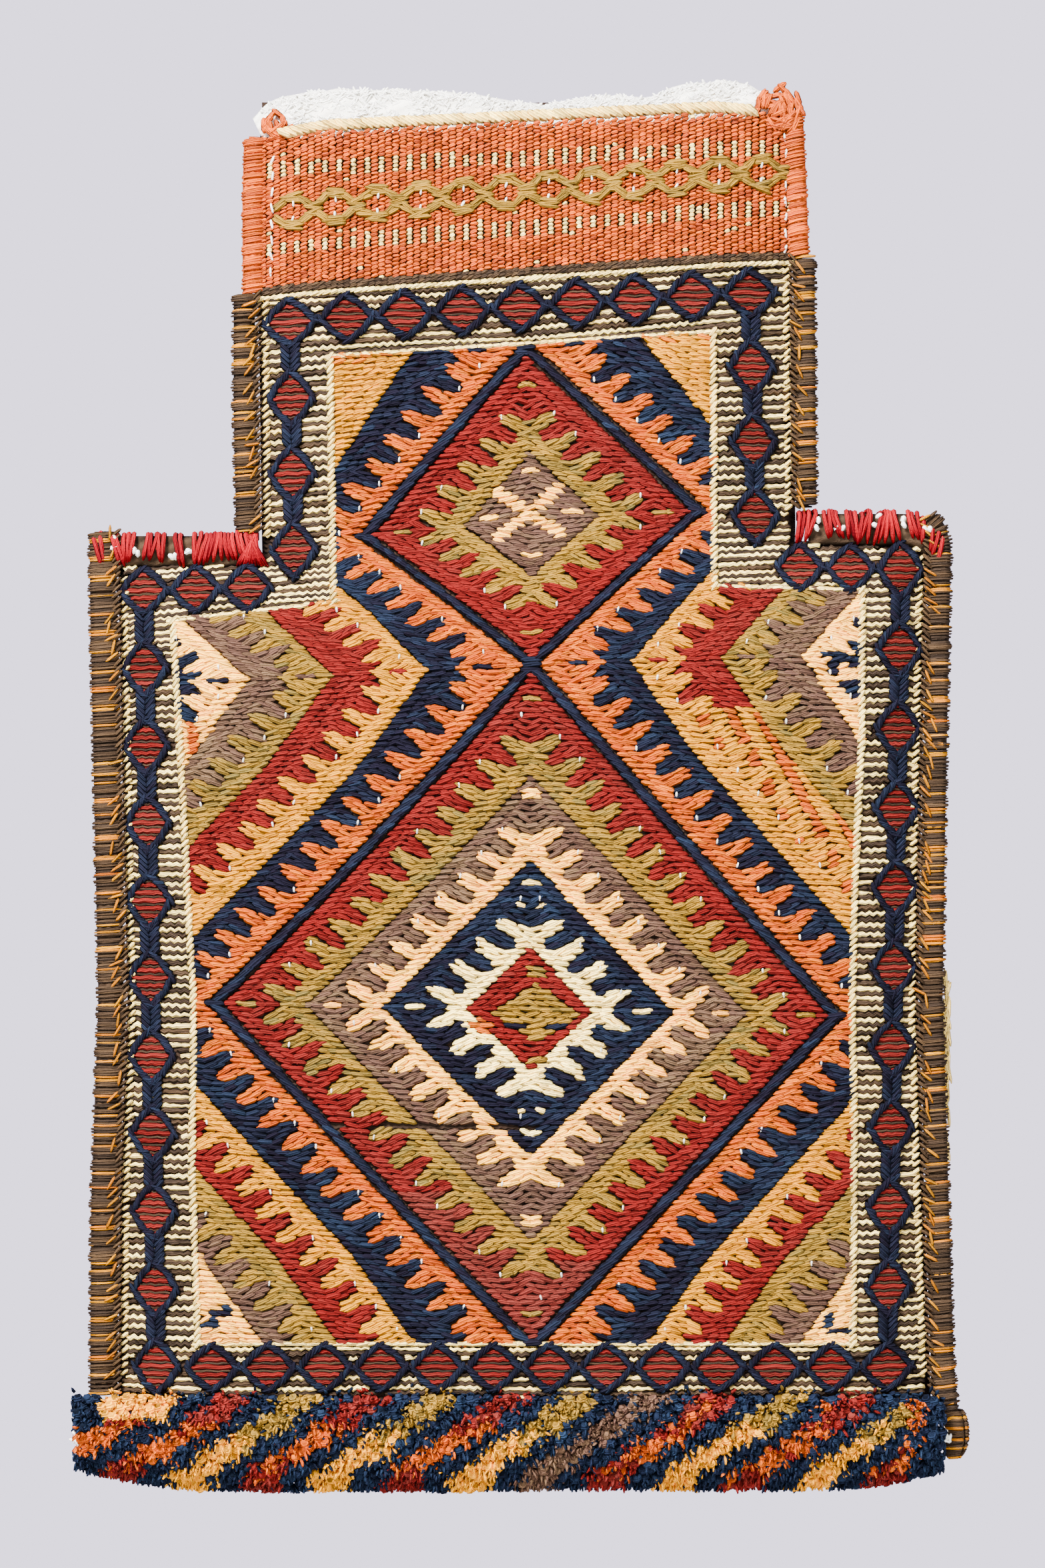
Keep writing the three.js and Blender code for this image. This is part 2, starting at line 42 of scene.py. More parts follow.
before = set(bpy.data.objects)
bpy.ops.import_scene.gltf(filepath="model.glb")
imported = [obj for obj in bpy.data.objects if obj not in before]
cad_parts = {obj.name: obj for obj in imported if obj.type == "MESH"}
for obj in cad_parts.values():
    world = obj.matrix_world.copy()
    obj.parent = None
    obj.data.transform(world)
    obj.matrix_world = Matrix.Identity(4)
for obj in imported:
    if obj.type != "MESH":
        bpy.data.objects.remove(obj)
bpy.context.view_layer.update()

MM = 0.001
UP = np.array([0.0, 0.0, 1.0])

# Heights of the cloth
EDGE_HEIGHT = 4.6
FACE_HEIGHT = 13.4
CLOTH = 1.6

# Outlines of the cloth, of the raised middle of its face and of the patterned field, corner by
# corner from the top left
EDGE = np.array([
    (-102.4, 266), (-103.2, 194.5), (-102.6, 167), (-101.4, 86.6), (-157.6, 86.6), (-155.7, -5.7),
    (-153.9, -83.7), (-157, -161.7), (-157.6, -264.4), (158.3, -264.4), (155, -161.7),
    (152.6, -83.7), (153.7, -5.7), (156.3, 94.4), (104.8, 94.4), (103.8, 180), (101.7, 266),
])
RAISED = np.array([
    (-77, 266), (-77, 194.5), (-76.5, 167), (-73.8, 68), (-136.5, 64), (-132.3, -5.7),
    (-128.4, -83.7), (-128, -161.7), (-128, -238), (128, -238), (127.7, -161.7),
    (126.9, -83.7), (129.5, -5.7), (130.8, 75.5), (73.4, 75.5), (73.5, 180), (73.5, 266),
])
FIELD = np.array([
    (-75.2, 165.8), (-73.9, 70.8), (-136, 63.6), (-132.8, 7.3), (-129.7, -55.1), (-128, -83.7),
    (-128.6, -148.7), (-126.4, -216), (126.9, -216), (127.4, -135.7), (126.6, -83.7),
    (127.8, -31.7), (130.4, 20.3), (130.4, 75.6), (73.3, 77), (72.9, 175.4),
])

# Ends of the front lip, and of the line at the foot of the neck's weave
LIP_LEFT = (-102.4, 250.5)
LIP_RIGHT = (101.7, 259.8)
NECK_FOOT = ((-109.7, 190.2), (108.7, 205.2))

# Pattern grid. One step is one hook of the pattern. Each line gives a row, the place of its
# middle, the width of a step to the left and right, and the rise of a step on either side.
ROWS = np.array([
    (-34, 2.6, -252.4, 8.06, 8.06, 0, 0),
    (-30, 2.6, -217.6, 8.06, 8.06, 0, 0),
    (-15, 2.1, -86.6, 8.14, 7.88, -0.16, -0.17),
    (0, 2.6, 46.8, 7.93, 7.57, 0.42, 0.26),
    (8, 2.6, 103, 8.03, 8.06, 0.85, 0.39),
    (16, 0.3, 169.3, 8.06, 8.06, 0.39, 0.7),
    (24, 0.3, 237.3, 8.06, 8.06, 0.39, 0.6),
])
UPPER = {"row": 8.0, "radius": 8.0}
LOWER = {"row": -15.0, "radius": 15.0}

# Usual width of a step in millimetres. In steps: the rows of wefts, half the field's width, half
# the width of the lattice's line, and how far a hook and half a stitch reach.
STEP = 8.06
WEFT_ROWS = np.arange(-32.5, 18.75, 0.25)
FIELD_STEPS = 18.5
LINE_HALF = 0.42
HOOK_REACH = 0.85
STITCH_REACH = 0.43

# Bands of yarn from the navy lattice outwards: the yarn, the distance in steps at which it ends,
# and whether that edge is hooked
IN_UPPER = [("red", 2.8, True), ("olive", 4.9, False), ("taupe", 99, False)]
IN_LOWER = [
    ("red", 2.6, True), ("olive", 4.8, False), ("taupe", 6.7, True), ("peach", 8.5, False),
    ("navy", 10.6, True), ("cream", 12.3, False), ("red", 99, False),
]
AT_TOP = [("salmon", 2.3, True), ("navy", 4.6, False), ("gold", 99, False)]
AT_MIDDLE = [
    ("salmon", 2.4, True), ("navy", 4.2, False), ("gold", 6.5, True), ("red", 8.8, False),
    ("olive", 11, True), ("taupe", 12.9, False), ("peach", 15.3, True), ("navy", 99, False),
]
AT_FOOT = [
    ("salmon", 2.3, True), ("navy", 4.5, False), ("gold", 6.5, True), ("red", 8.2, False),
    ("olive", 10.6, True), ("taupe", 11.8, False), ("peach", 15.2, True), ("navy", 99, False),
]
SMOOTH_EDGES = (4.2, 4.6, 4.5, 8.2, 8.8, 11.8, 12.9)
YARNS = ["navy", "red", "salmon", "gold", "olive", "taupe", "peach", "cream"]


def wool(name, colour):
    """Colour property of one wool, as the share of red, green and blue light it sends back"""
    return FloatVectorProperty(
        name=name, description=f"Main colour of the {name.lower()} wool", subtype="COLOR",
        size=3, min=0, max=1, default=colour,
    )


def length(name, description, millimetres):
    """Length property with its default in millimetres"""
    return FloatProperty(
        name=name, description=description, unit="LENGTH", min=0, default=millimetres * MM,
    )


class WoolColours(bpy.types.PropertyGroup):
    """Colours of the wools"""

    navy: wool("Navy", (0.0047, 0.0035, 0.008))
    red: wool("Red", (0.107, 0.0048, 0.0044))
    salmon: wool("Salmon", (0.29, 0.037, 0.002))
    gold: wool("Gold", (0.43, 0.172, 0.0005))
    olive: wool("Olive", (0.215, 0.11, 0.01))
    taupe: wool("Taupe", (0.064, 0.031, 0.022))
    peach: wool("Peach", (0.93, 0.45, 0.045))
    cream: wool("Cream", (0.98, 0.74, 0.23))
    brown: wool("Dark Brown", (0.024, 0.0155, 0.011))
    scarlet: wool("Scarlet", (0.26, 0.003, 0.008))
    rust: wool("Rust", (0.52, 0.08, 0.003))
    white: wool("White", (0.95, 0.93, 0.88))


class YarnSizes(bpy.types.PropertyGroup):
    """Sizes of the yarn"""

    stitch_length: length("Stitch Length", "Whole length of one wrapped stitch", 6.6)
    stitch_height: length("Stitch Height", "Size of one wrapped stitch across the row", 2.25)
    stitch_depth: length("Stitch Depth", "Thickness of the wrapped yarn", 2.0)
    weft_pitch: length("Weft Pitch", "Distance between weft lines of the border", 1.84)
    rib_pitch: length("Rib Pitch", "Distance between ribs of the neck's weave", 2.73)
    bead_pitch: length("Bead Pitch", "Distance between picks along a rib of the neck", 1.58)
    tuft_pitch: length("Tuft Pitch", "Distance between knots of the pile", 3.6)


def sizes():
    """Yarn sizes in millimetres, by name"""
    group = bpy.context.scene.salt_bag_yarn
    return {key: getattr(group, key) / MM for key in YarnSizes.__annotations__}


def colour_of(name):
    """Colour that is set for a wool"""
    return tuple(getattr(bpy.context.scene.salt_bag_wool, name))


def seeded(name):
    """Random numbers that are the same each run"""
    return np.random.default_rng(zlib.crc32(name.encode()))


# Where things lie on the cloth

def lay(u, v):
    """Place on the cloth of steps u along pattern row v"""
    u, v = np.broadcast_arrays(np.asarray(u, float), np.asarray(v, float))
    x, y, left, right, fall, rise = (np.interp(v, ROWS[:, 0], ROWS[:, k]) for k in range(1, 7))
    return x + u * np.where(u < 0, left, right), y + u * np.where(u < 0, fall, rise)


def distance_to(x, y, outline, closed=False):
    """Distance from places to an outline, which is left open at the mouth"""
    nearest = np.full(np.shape(x), np.inf)
    ends = np.roll(outline, -1, axis=0) if closed else outline[1:]
    for (ax, ay), (bx, by) in zip(outline, ends):
        run = (bx - ax, by - ay)
        share = ((x - ax) * run[0] + (y - ay) * run[1]) / (run[0] ** 2 + run[1] ** 2)
        share = np.clip(share, 0, 1)
        nearest = np.minimum(nearest, np.hypot(x - ax - share * run[0], y - ay - share * run[1]))
    return nearest


def inside(x, y, outline):
    """Whether places are within an outline"""
    within = np.zeros(np.shape(x), bool)
    for (ax, ay), (bx, by) in zip(outline, np.roll(outline, -1, axis=0)):
        if ay == by:
            continue
        crosses = (ay > y) != (by > y)
        within ^= crosses & (x < (bx - ax) * (y - ay) / (by - ay) + ax)
    return within


def face_height(x, y):
    """Height of the cloth's face: low at the seams, soft up to the raised middle, and uneven"""
    x, y = np.asarray(x, float), np.asarray(y, float)
    to_edge = distance_to(x, y, EDGE)
    to_raised = distance_to(x, y, RAISED)
    share = to_edge / (to_edge + to_raised + 1e-6)
    share = np.where(inside(x, y, RAISED), 1, np.where(inside(x, y, EDGE), share, 0))
    bulge = share + 0.55 * share * (1 - share)
    waves = (
        0.3 * np.sin(x / 27 + 0.8) * np.sin(y / 41 + 0.5) + 0.22 * np.sin((x + 0.6 * y) / 19 + 1.1)
    )
    return EDGE_HEIGHT + (FACE_HEIGHT - EDGE_HEIGHT) * bulge + waves * share


def line_height(x, ends):
    """Y of a straight line through two places"""
    (ax, ay), (bx, by) = ends
    return ay + (x - ax) * (by - ay) / (bx - ax)


def drift(x, y, scale=24.0):
    """Slow variation between 0 and 1 over the cloth, as where one dye lot runs into another"""
    waves = np.sin(x / scale + 1.3 * np.sin(y / scale / 1.7)) * np.sin(y / scale * 1.3 + 0.7)
    return 0.5 + 0.5 * waves


# Yarn as geometry

def skin(strands, stations, sides):
    """Faces of closed strands: the quads along them, and the caps at their ends"""
    index = np.arange(strands * stations * sides).reshape(strands, stations, sides)
    here, ahead = index[:, :-1], index[:, 1:]
    quads = np.stack([here, ahead, np.roll(ahead, -1, 2), np.roll(here, -1, 2)], axis=-1)
    return [quads.reshape(-1, 4), np.concatenate([index[:, 0], index[:, -1, ::-1]])]


def sweep(lines, widths, heights, sides=5, ups=UP, chance=None, tint=0.0):
    """Closed strands along lines of points

    lines is strands by stations by 3. widths and heights are half sizes at each station. chance
    and tint are one number for each strand, for its material.
    """
    lines = np.asarray(lines, float)
    count, stations = lines.shape[:2]
    along = np.gradient(lines, axis=1)
    along /= np.linalg.norm(along, axis=2, keepdims=True) + 1e-9
    aside = np.cross(along, np.broadcast_to(ups, lines.shape))
    aside /= np.linalg.norm(aside, axis=2, keepdims=True) + 1e-9
    up = np.cross(aside, along)
    turn = np.pi / 2 + 2 * np.pi * np.arange(sides) / sides
    wide = np.broadcast_to(widths, (count, stations))[..., None, None] * np.cos(turn)[:, None]
    high = np.broadcast_to(heights, (count, stations))[..., None, None] * np.sin(turn)[:, None]
    points = lines[:, :, None] + aside[:, :, None] * wide + up[:, :, None] * high

    steps = np.linalg.norm(np.diff(lines, axis=1), axis=2)
    travelled = np.concatenate([np.zeros((count, 1)), np.cumsum(steps, axis=1)], axis=1)
    if chance is None:
        chance = seeded(f"chance {count} {stations}").random(count)
    yarn = np.empty((count, stations, sides, 3))
    yarn[..., 0] = travelled[:, :, None]
    yarn[..., 1] = np.cos(turn)
    yarn[..., 2] = np.broadcast_to(chance, (count,))[:, None, None]
    tints = np.broadcast_to(np.broadcast_to(tint, (count,))[:, None, None], yarn.shape[:3])
    return {
        "points": points.reshape(-1, 3), "faces": skin(count, stations, sides),
        "yarn": yarn.reshape(-1, 3), "tint": tints.reshape(-1),
    }


def mesh_from(name, batches):
    """One mesh from batches of strands, with the yarn's own coordinates as attributes"""
    points = np.concatenate([batch["points"] for batch in batches]) * MM
    corners, starts, first, used = [], [], 0, 0
    for batch in batches:
        for faces in batch["faces"]:
            corners.append((faces + first).ravel())
            starts.append(used + np.arange(len(faces)) * faces.shape[1])
            used += faces.size
        first += len(batch["points"])
    mesh = bpy.data.meshes.new(name)
    mesh.vertices.add(len(points))
    mesh.vertices.foreach_set("co", points.astype(np.float32).ravel())
    mesh.loops.add(used)
    mesh.loops.foreach_set("vertex_index", np.concatenate(corners).astype(np.int32))
    starts = np.concatenate(starts).astype(np.int32)
    mesh.polygons.add(len(starts))
    mesh.polygons.foreach_set("loop_start", starts)
    mesh.polygons.foreach_set("use_smooth", np.ones(len(starts), bool))
    for name, kind, field in (("yarn", "FLOAT_VECTOR", "vector"), ("tint", "FLOAT", "value")):
        values = np.concatenate([batch[name] for batch in batches]).astype(np.float32)
        mesh.attributes.new(name, kind, "POINT").data.foreach_set(field, values.ravel())
    mesh.update(calc_edges=True)
    mesh.validate()
    return mesh


# Wools whose slot isn't called after their colour
SLOTS = {
    "brown": "goat_hair", "rust": "neck_weave", "scarlet": "bright_red_yarn",
    "white": "cream_yarn",
}


def add_piece(name, mesh, material, slot, nodes):
    """New piece that rides with the bag and may stand for some of its solids"""
    mesh.materials.append(material)
    piece = bpy.data.objects.new(name, mesh)
    bpy.context.scene.collection.objects.link(piece)
    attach(piece, "root")
    if nodes:
        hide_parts(*nodes)
    return piece


def add_yarn(name, yarn, batches, *nodes, slot=None):
    """New piece of one wool, in the wool's own slot where no other is given"""
    slot = slot or SLOTS.get(yarn, f"{yarn}_yarn")
    material = wool_material(yarn, pile=slot == "pile")
    add_piece(name, mesh_from(name, batches), material, slot, nodes)


def shades(rng, mean, spread, count):
    """Share of the second colour in each strand"""
    return np.clip(rng.normal(mean, spread, count), 0, 1)


STITCH_STATIONS = np.array([-1, -0.6, 0.6, 1])
STITCH_TAPER = np.array([0.42, 1, 1, 0.42])


def stitches(
    x, y, half_length, angle, half_width, half_depth, lift, rng, tint=0.0, height=face_height,
    sides=4,
):
    """Stitches that lie on the cloth, each a short strand with tapered ends

    height is the height on which they lie, or a function that gives it for a place.
    """
    x, y = np.asarray(x, float), np.asarray(y, float)
    shape = (len(x), 1)
    half_length, angle, half_width = (
        np.broadcast_to(value, x.shape).reshape(shape) for value in (half_length, angle, half_width)
    )
    px = x[:, None] + half_length * STITCH_STATIONS * np.cos(angle)
    py = y[:, None] + half_length * STITCH_STATIONS * np.sin(angle)
    base = height(px, py) if callable(height) else height
    arch = 0.35 * half_depth * (1 - STITCH_STATIONS ** 2)
    slope = 0.42 * np.sign(np.sin(angle)) + rng.normal(0, 0.12, shape)
    shingle = slope * STITCH_STATIONS + rng.normal(0, 0.08, shape)
    lines = np.stack([px, py, base + lift + arch + shingle], axis=-1)
    thick = half_width * STITCH_TAPER * rng.normal(1, 0.07, shape)
    return sweep(
        lines, thick, half_depth * STITCH_TAPER ** 0.5, sides, chance=rng.random(len(x)), tint=tint,
    )


def along_path(path, spacing):
    """Places at even spacing along a path, with the path's direction there"""
    path = np.asarray(path, float)
    runs = np.hypot(*np.diff(path, axis=0).T)
    reached = np.concatenate([[0], np.cumsum(runs)])
    count = max(2, int(round(reached[-1] / spacing)) + 1)
    at = np.linspace(0, reached[-1], count)
    x, y = np.interp(at, reached, path[:, 0]), np.interp(at, reached, path[:, 1])
    return x, y, np.arctan2(np.gradient(y), np.gradient(x))


def on_path(
    points, spacing, slant, rng, half_length, half_width, half_depth=0.7, lift=1.1, tint=0.3,
    height=face_height,
):
    """Stitches along a path, each turned from the path's direction by slant degrees"""
    x, y, angle = along_path(points, spacing)
    count = len(x)
    angle = angle + np.radians(slant) + rng.normal(0, 0.09, count)
    tints = shades(rng, tint, 0.22, count)
    x = x + rng.normal(0, 0.1, count)
    return stitches(x, y, half_length, angle, half_width, half_depth, lift, rng, tints, height)


def tube(centres, wide, high, sides, rng, uneven=0.0):
    """Closed tube along a line of points, with half sizes that may change or be uneven"""
    centres = np.asarray(centres, float)[None]
    wide = np.broadcast_to(wide, centres.shape[1]) * rng.normal(1, uneven, centres.shape[1])
    high = np.broadcast_to(high, centres.shape[1]) * rng.normal(1, uneven, centres.shape[1])
    return sweep(centres, wide[None], high[None], sides=sides, chance=rng.random(1), tint=0.3)


# Pattern of the field

def yarn_number(name):
    """Place of a yarn in the list of yarns"""
    return YARNS.index(name)


def banded(reach, slant, gap, out, bands, eyes):
    """Yarn of each place in the bands

    reach gives the distance from the lattice as it counts for an edge, slant counts the hooks
    along the band, gap and out are the distances from the middle row and column, and eyes gives
    the eye places for an edge.
    """
    yarn = np.full(out.shape, yarn_number(bands[0][0]))
    hooked_at = np.zeros(out.shape, bool)
    before = -1.0
    for (inner, edge, hooked), (outer, _, _) in zip(bands, bands[1:]):
        depth = reach(edge)
        if hooked:
            turn = np.mod(slant - edge / 3 + 0.25, 1)
            finger = turn < 0.5
            bend = (np.where(finger, turn - 0.25, turn - 0.75) / 0.25) ** 2
            tip = HOOK_REACH * (1.06 - 0.5 * bend) + 0.16 * np.sin(53 * gap + 2 * np.floor(slant))
            limit = edge + np.where(finger, tip, -tip)
            hooked_at |= np.abs(depth - edge) < HOOK_REACH
        else:
            limit = edge
        yarn = np.where(depth >= limit, yarn_number(outer), yarn)
        if hooked:
            for eye_out, eye_gap in eyes(edge):
                off, away = np.abs(out - eye_out), np.abs(gap - eye_gap)
                ring = (off + away < 1.35) & (reach(before) > before + 0.35)
                yarn = np.where(ring, yarn_number(inner), yarn)
                yarn = np.where((off < 0.46) & (away < 0.19), yarn_number(outer), yarn)
        before = edge
    return yarn, hooked_at


def diamond_half(v):
    """Half width of the navy diamonds at a row"""
    diamond = UPPER if v >= 0 else LOWER
    return diamond["radius"] - abs(v - diamond["row"])


def diamond_yarn(u, v, diamond, bands):
    """Yarn inside one of the navy diamonds, and where it is hooked"""
    radius, gap = diamond["radius"], abs(v - diamond["row"])
    out = np.abs(u)

    def reach(edge):
        return radius - gap - out * (1 - 0.0085 * max(edge, 0))

    def eyes(edge):
        place = radius - edge + 1.1
        return [(place, 0), (0, place)]
    return banded(reach, (radius - out + 2 * gap) / 3, gap, out, bands, eyes)


def outside_yarn(u, v):
    """Yarn outside the navy diamonds, and where it is hooked"""
    if v > UPPER["row"]:
        middle, bands = 16, AT_TOP
    elif v > LOWER["row"]:
        middle, bands = 0, AT_MIDDLE
    else:
        middle, bands = -30, AT_FOOT
    gap, out = abs(v - middle), np.abs(u)
    bulge = 0.9 * max(0, 1 - gap / 4)

    def reach(edge):
        return out - gap - (bulge if edge in SMOOTH_EDGES else 0)

    def eyes(edge):
        return [(edge, 0)]
    return banded(reach, (out + 2 * gap) / 3, gap, out, bands, eyes)


def cross_yarn(u, v, yarn):
    """The peach cross and its four dots in the middle of the upper diamond"""
    across, rise = np.abs(u + 0.1), v - 8.25
    arm = np.abs(across / 1.5 - abs(rise) / 1.1) < 0.33
    mark = arm & (across < 1.75) & (abs(rise) < 1.3)
    for dot_u, dot_v in [(0, 2), (0, -2.2), (-2.1, 0), (2.0, 0)]:
        mark |= (np.abs(u - dot_u) < 0.5) & (abs(rise - dot_v) < 0.2)
    return np.where(mark, yarn_number("peach"), yarn)


def centre_yarn(u, v, yarn):
    """The olive figure, and the dots round it, in the middle of the lower diamond"""
    rise = v - LOWER["row"]
    out = np.abs(u - 0.3)
    figure = (out / 2.2 + abs(rise + 0.2) / 1.3 < 1) | ((out < 0.8) & (abs(rise) < 1.0))
    yarn = np.where(figure, yarn_number("olive"), yarn)
    for dot_v in (1.6, -2.3):
        yarn = np.where((out < 0.5) & (abs(rise - dot_v) < 0.2), yarn_number("olive"), yarn)
    dash = (np.abs(out - 1.0) < 0.5) & (abs(rise + 0.75) < 0.2)
    return np.where(dash, yarn_number("navy"), yarn)


# Small marks in the field: x, y, half width, half height and wool
MARKS = [
    (-123, -208.5, 4.6, 1.6, "navy"), (-120, -204.5, 1.6, 3.2, "navy"),
    (-115, -203, 3.4, 1.4, "navy"), (121, -211, 4.6, 1.8, "navy"), (117, -207, 1.8, 3.0, "navy"),
    (-129, 18, 2.2, 6, "salmon"), (124, 49, 5.0, 2.0, "navy"), (126, 39, 4.4, 2.4, "navy"),
    (119, 45, 1.8, 4.2, "navy"), (-17, -93, 4, 2.6, "salmon"),
]


def marked(u, v, yarn):
    """Small marks that fall outside the bands' rhythm"""
    x, y = lay(u, v)
    for mark_x, mark_y, half_x, half_y, name in MARKS:
        hit = np.abs(x - mark_x) / half_x + np.abs(y - mark_y) / half_y < 1.3
        yarn = np.where(hit & (np.abs(y - mark_y) < half_y), yarn_number(name), yarn)
    return yarn


def pattern_row(u, v):
    """Yarn along one row, with the lattice left out as minus one, and the tilt of its stitches"""
    depth = np.abs(u) - diamond_half(v)
    if v >= 0:
        within, hooked_in = diamond_yarn(u, v, UPPER, IN_UPPER)
        within = cross_yarn(u, v, within)
    else:
        within, hooked_in = diamond_yarn(u, v, LOWER, IN_LOWER)
        within = centre_yarn(u, v, within)
    outside, hooked_out = outside_yarn(u, v)
    yarn = np.where(depth < 0, within, outside)
    hooked = np.where(depth < 0, hooked_in, hooked_out)
    patchy = np.where(np.sin(4.1 * u + 2.3 * v) > -0.2, yarn_number("gold"), yarn_number("salmon"))
    yarn = np.where((yarn == yarn_number("red")) & faded_right(u, v), patchy, yarn)
    yarn = marked(u, v, yarn)
    tilt = np.where(hooked, 1.0, -0.6) * stitch_tilt(u, v)
    return np.where(np.abs(depth) <= LINE_HALF, -1, yarn), tilt


def runs_of(yarn, shortest):
    """Runs of one yarn along a row as (first, last, yarn), with the shortest ones taken over"""
    starts = np.concatenate([[0], np.flatnonzero(np.diff(yarn)) + 1])
    runs = []
    for start, end in zip(starts, [*starts[1:], len(yarn)]):
        kind = yarn[start]
        joins = runs and kind >= 0 and runs[-1][2] >= 0
        if joins and (end - start < shortest or kind == runs[-1][2]):
            runs[-1][1] = end
        else:
            runs.append([start, end, kind])
    return runs


def field_stitches():
    """Every wrapped stitch of the field: u, v, half length in steps, yarn and tilt"""
    fine, shortest_run, spacing, least = 0.06, 0.26, 0.5, 0.12
    u = np.arange(-FIELD_STEPS, FIELD_STEPS, fine)
    found = []
    for v in WEFT_ROWS:
        yarn, tilt = pattern_row(u, v)
        yarn = np.where(inside(*lay(u, v), FIELD), yarn, -2)
        for start, end, kind in runs_of(yarn, int(shortest_run / fine)):
            wide = (end - start) * fine
            if kind < 0 or wide < least:
                continue
            count = max(1, int(round(wide / spacing)))
            at = u[start] + wide / count * (np.arange(count) + 0.5)
            half = max(0.3, min(STITCH_REACH, 0.5 * wide + fine))
            if wide > 0.8:
                at = np.clip(at, u[start] + half - least, u[end - 1] - half + least)
            columns = [np.full(count, value) for value in (v, half, kind)]
            found.append(np.stack([at, *columns, np.interp(at, u, tilt)], axis=1))
    return np.concatenate(found)


def stitch_tilt(u, v):
    """Sign of a stitch's tilt: it leans the way the hooks step from row to row"""
    within = np.abs(u) < diamond_half(v)
    middle_in = UPPER["row"] if v >= 0 else LOWER["row"]
    middle_out = 16 if v > 8 else 0 if v > -15 else -30
    inward = -np.sign(u) * np.sign(middle_in - v)
    outward = np.sign(u) * np.sign(middle_out - v)
    return np.where(within, inward, outward)


def faded_right(u, v):
    """Where the red band on the right turns to gold and salmon: below a slanting line"""
    return (u > 0) & (v < -2.2) & (v > -10.5) & (np.abs(u) - diamond_half(v) > 5.5)


def tint_of(yarn, u, v, x, y, rng):
    """Share of the second colour in each stitch"""
    tint = np.clip(0.6 * drift(x, y) + rng.normal(-0.05, 0.28, len(x)), 0, 1)
    within = np.abs(u) < np.array([diamond_half(row) for row in v])
    if yarn == "red":
        faded = within & (v < np.where(u < 0, -23.2, -26.2))
        tint = np.where(faded, rng.uniform(0.7, 1, len(x)), 0.35 * tint)
    if yarn == "gold":
        speckled = (v > 8) & ((np.abs(u) > 14 - 0.4 * (16 - v)) | (v > 15.5))
        tint = np.where(speckled, rng.choice([0.1, 0.9], len(x)), 0.3 * tint)
    if yarn == "salmon":
        tint = shades(rng, 0.35, 0.35, len(x))
    return tint


# Solids of the pattern that a wool's wrapping stands for, in the diamonds and at both sides
WRAPPED_SOLIDS = {
    "navy": (["inner"], ["top", "middle", "foot"]), "cream": (["inner"], []),
    "red": (["upper", "lower", "inner"], ["middle", "foot"]), "salmon": ([], ["zigzag"]),
    "olive": (["upper", "lower", "inner"], ["middle", "foot"]),
    "gold": ([], ["top", "middle", "foot"]), "taupe": (["upper", "lower"], ["middle"]),
    "peach": (["lower"], ["middle"]),
}

# Row whose wool is partly worn off, and the middle and half width of that place
WORN_ROW, WORN_MIDDLE, WORN_HALF = -20.25, -36, 40


def replaced_by(yarn):
    """Names of the solids that a wool's wrapping stands for"""
    diamonds, bands = WRAPPED_SOLIDS[yarn]
    crosses = ["upper_peach_cross"] if yarn == "peach" else []
    return [
        *crosses, *(f"{part}_{yarn}_diamond" for part in diamonds),
        *(f"{side}_{yarn}_{part}" for part in bands for side in ("left", "right")),
    ]


def add_field():
    """Wrapped yarn of the whole field, one piece for each wool"""
    size = sizes()
    table = field_stitches()
    for number, yarn in enumerate(YARNS):
        rng = seeded(f"field {yarn}")
        u, v, half, _, lean = table[table[:, 3] == number].T
        x, y = lay(u, v)
        worn = (np.abs(v - WORN_ROW) < 0.1) & (np.abs(x - WORN_MIDDLE) < WORN_HALF)
        worn &= rng.random(len(x)) < 0.75
        u, v, half, lean, x, y = (column[~worn] for column in (u, v, half, lean, x, y))
        x += rng.normal(0, 0.12, len(x))
        y += rng.normal(0, 0.12, len(y))
        reach = half / STITCH_REACH * size["stitch_length"] / 2
        angle = np.radians(lean * 19 + rng.normal(0, 5, len(x)))
        batch = stitches(
            x, y, reach, angle, size["stitch_height"] / 2, size["stitch_depth"] / 2, 0.85, rng,
            tint_of(yarn, u, v, x, y, rng),
        )
        add_yarn(f"{yarn}_wrapping", yarn, [batch], *replaced_by(yarn))


def add_lattice():
    """Navy lines round the diamonds, wrapped along the line"""
    rng = seeded("lattice")
    places = []
    for v in WEFT_ROWS:
        half = diamond_half(v)
        lean = np.sign(v - (UPPER if v >= 0 else LOWER)["row"])
        for side in ([-1, 1] if abs(half) > 0.3 else [0.01]):
            places.append((side * half, v, -side * lean))
    u, v, lean = np.array(places).T
    x, y = lay(u, v)
    kept = inside(x, y, FIELD)
    x, y, lean = x[kept], y[kept], lean[kept]
    angle = np.radians(lean * 31 + rng.normal(0, 4, len(x)))
    batch = stitches(
        x, y, 4.1, angle, 1.4, sizes()["stitch_depth"] / 2, 1.15, rng,
        shades(rng, 0.2, 0.25, len(x)), sides=5,
    )
    add_yarn("lattice_wrapping", "navy", [batch], "navy_lattice")


def hook_dots():
    """Places of the pale warp ends that show beside the hooks"""
    dots = []
    for diamond, bands in ((UPPER, IN_UPPER), (LOWER, IN_LOWER)):
        for _, edge, hooked in bands:
            for n in range(int(diamond["radius"])):
                gap = n + 0.5 + HOOK_REACH / 3
                out = diamond["radius"] - edge + HOOK_REACH - gap
                if hooked and out > 0.4:
                    for side in (-1, 1):
                        dots += [(side * out, diamond["row"] + rise) for rise in (gap, -gap)]
    for middle, bands, low, high in (
        (16, AT_TOP, 8, 18), (0, AT_MIDDLE, -15, 8), (-30, AT_FOOT, -32, -15),
    ):
        for _, edge, hooked in bands[:-1]:
            for n in range(16):
                gap = n + 0.5 + HOOK_REACH / 3
                out = edge - HOOK_REACH + gap
                for v in (middle + gap, middle - gap):
                    if hooked and low < v < high:
                        dots += [(out, v), (-out, v)]
    return np.array(dots)


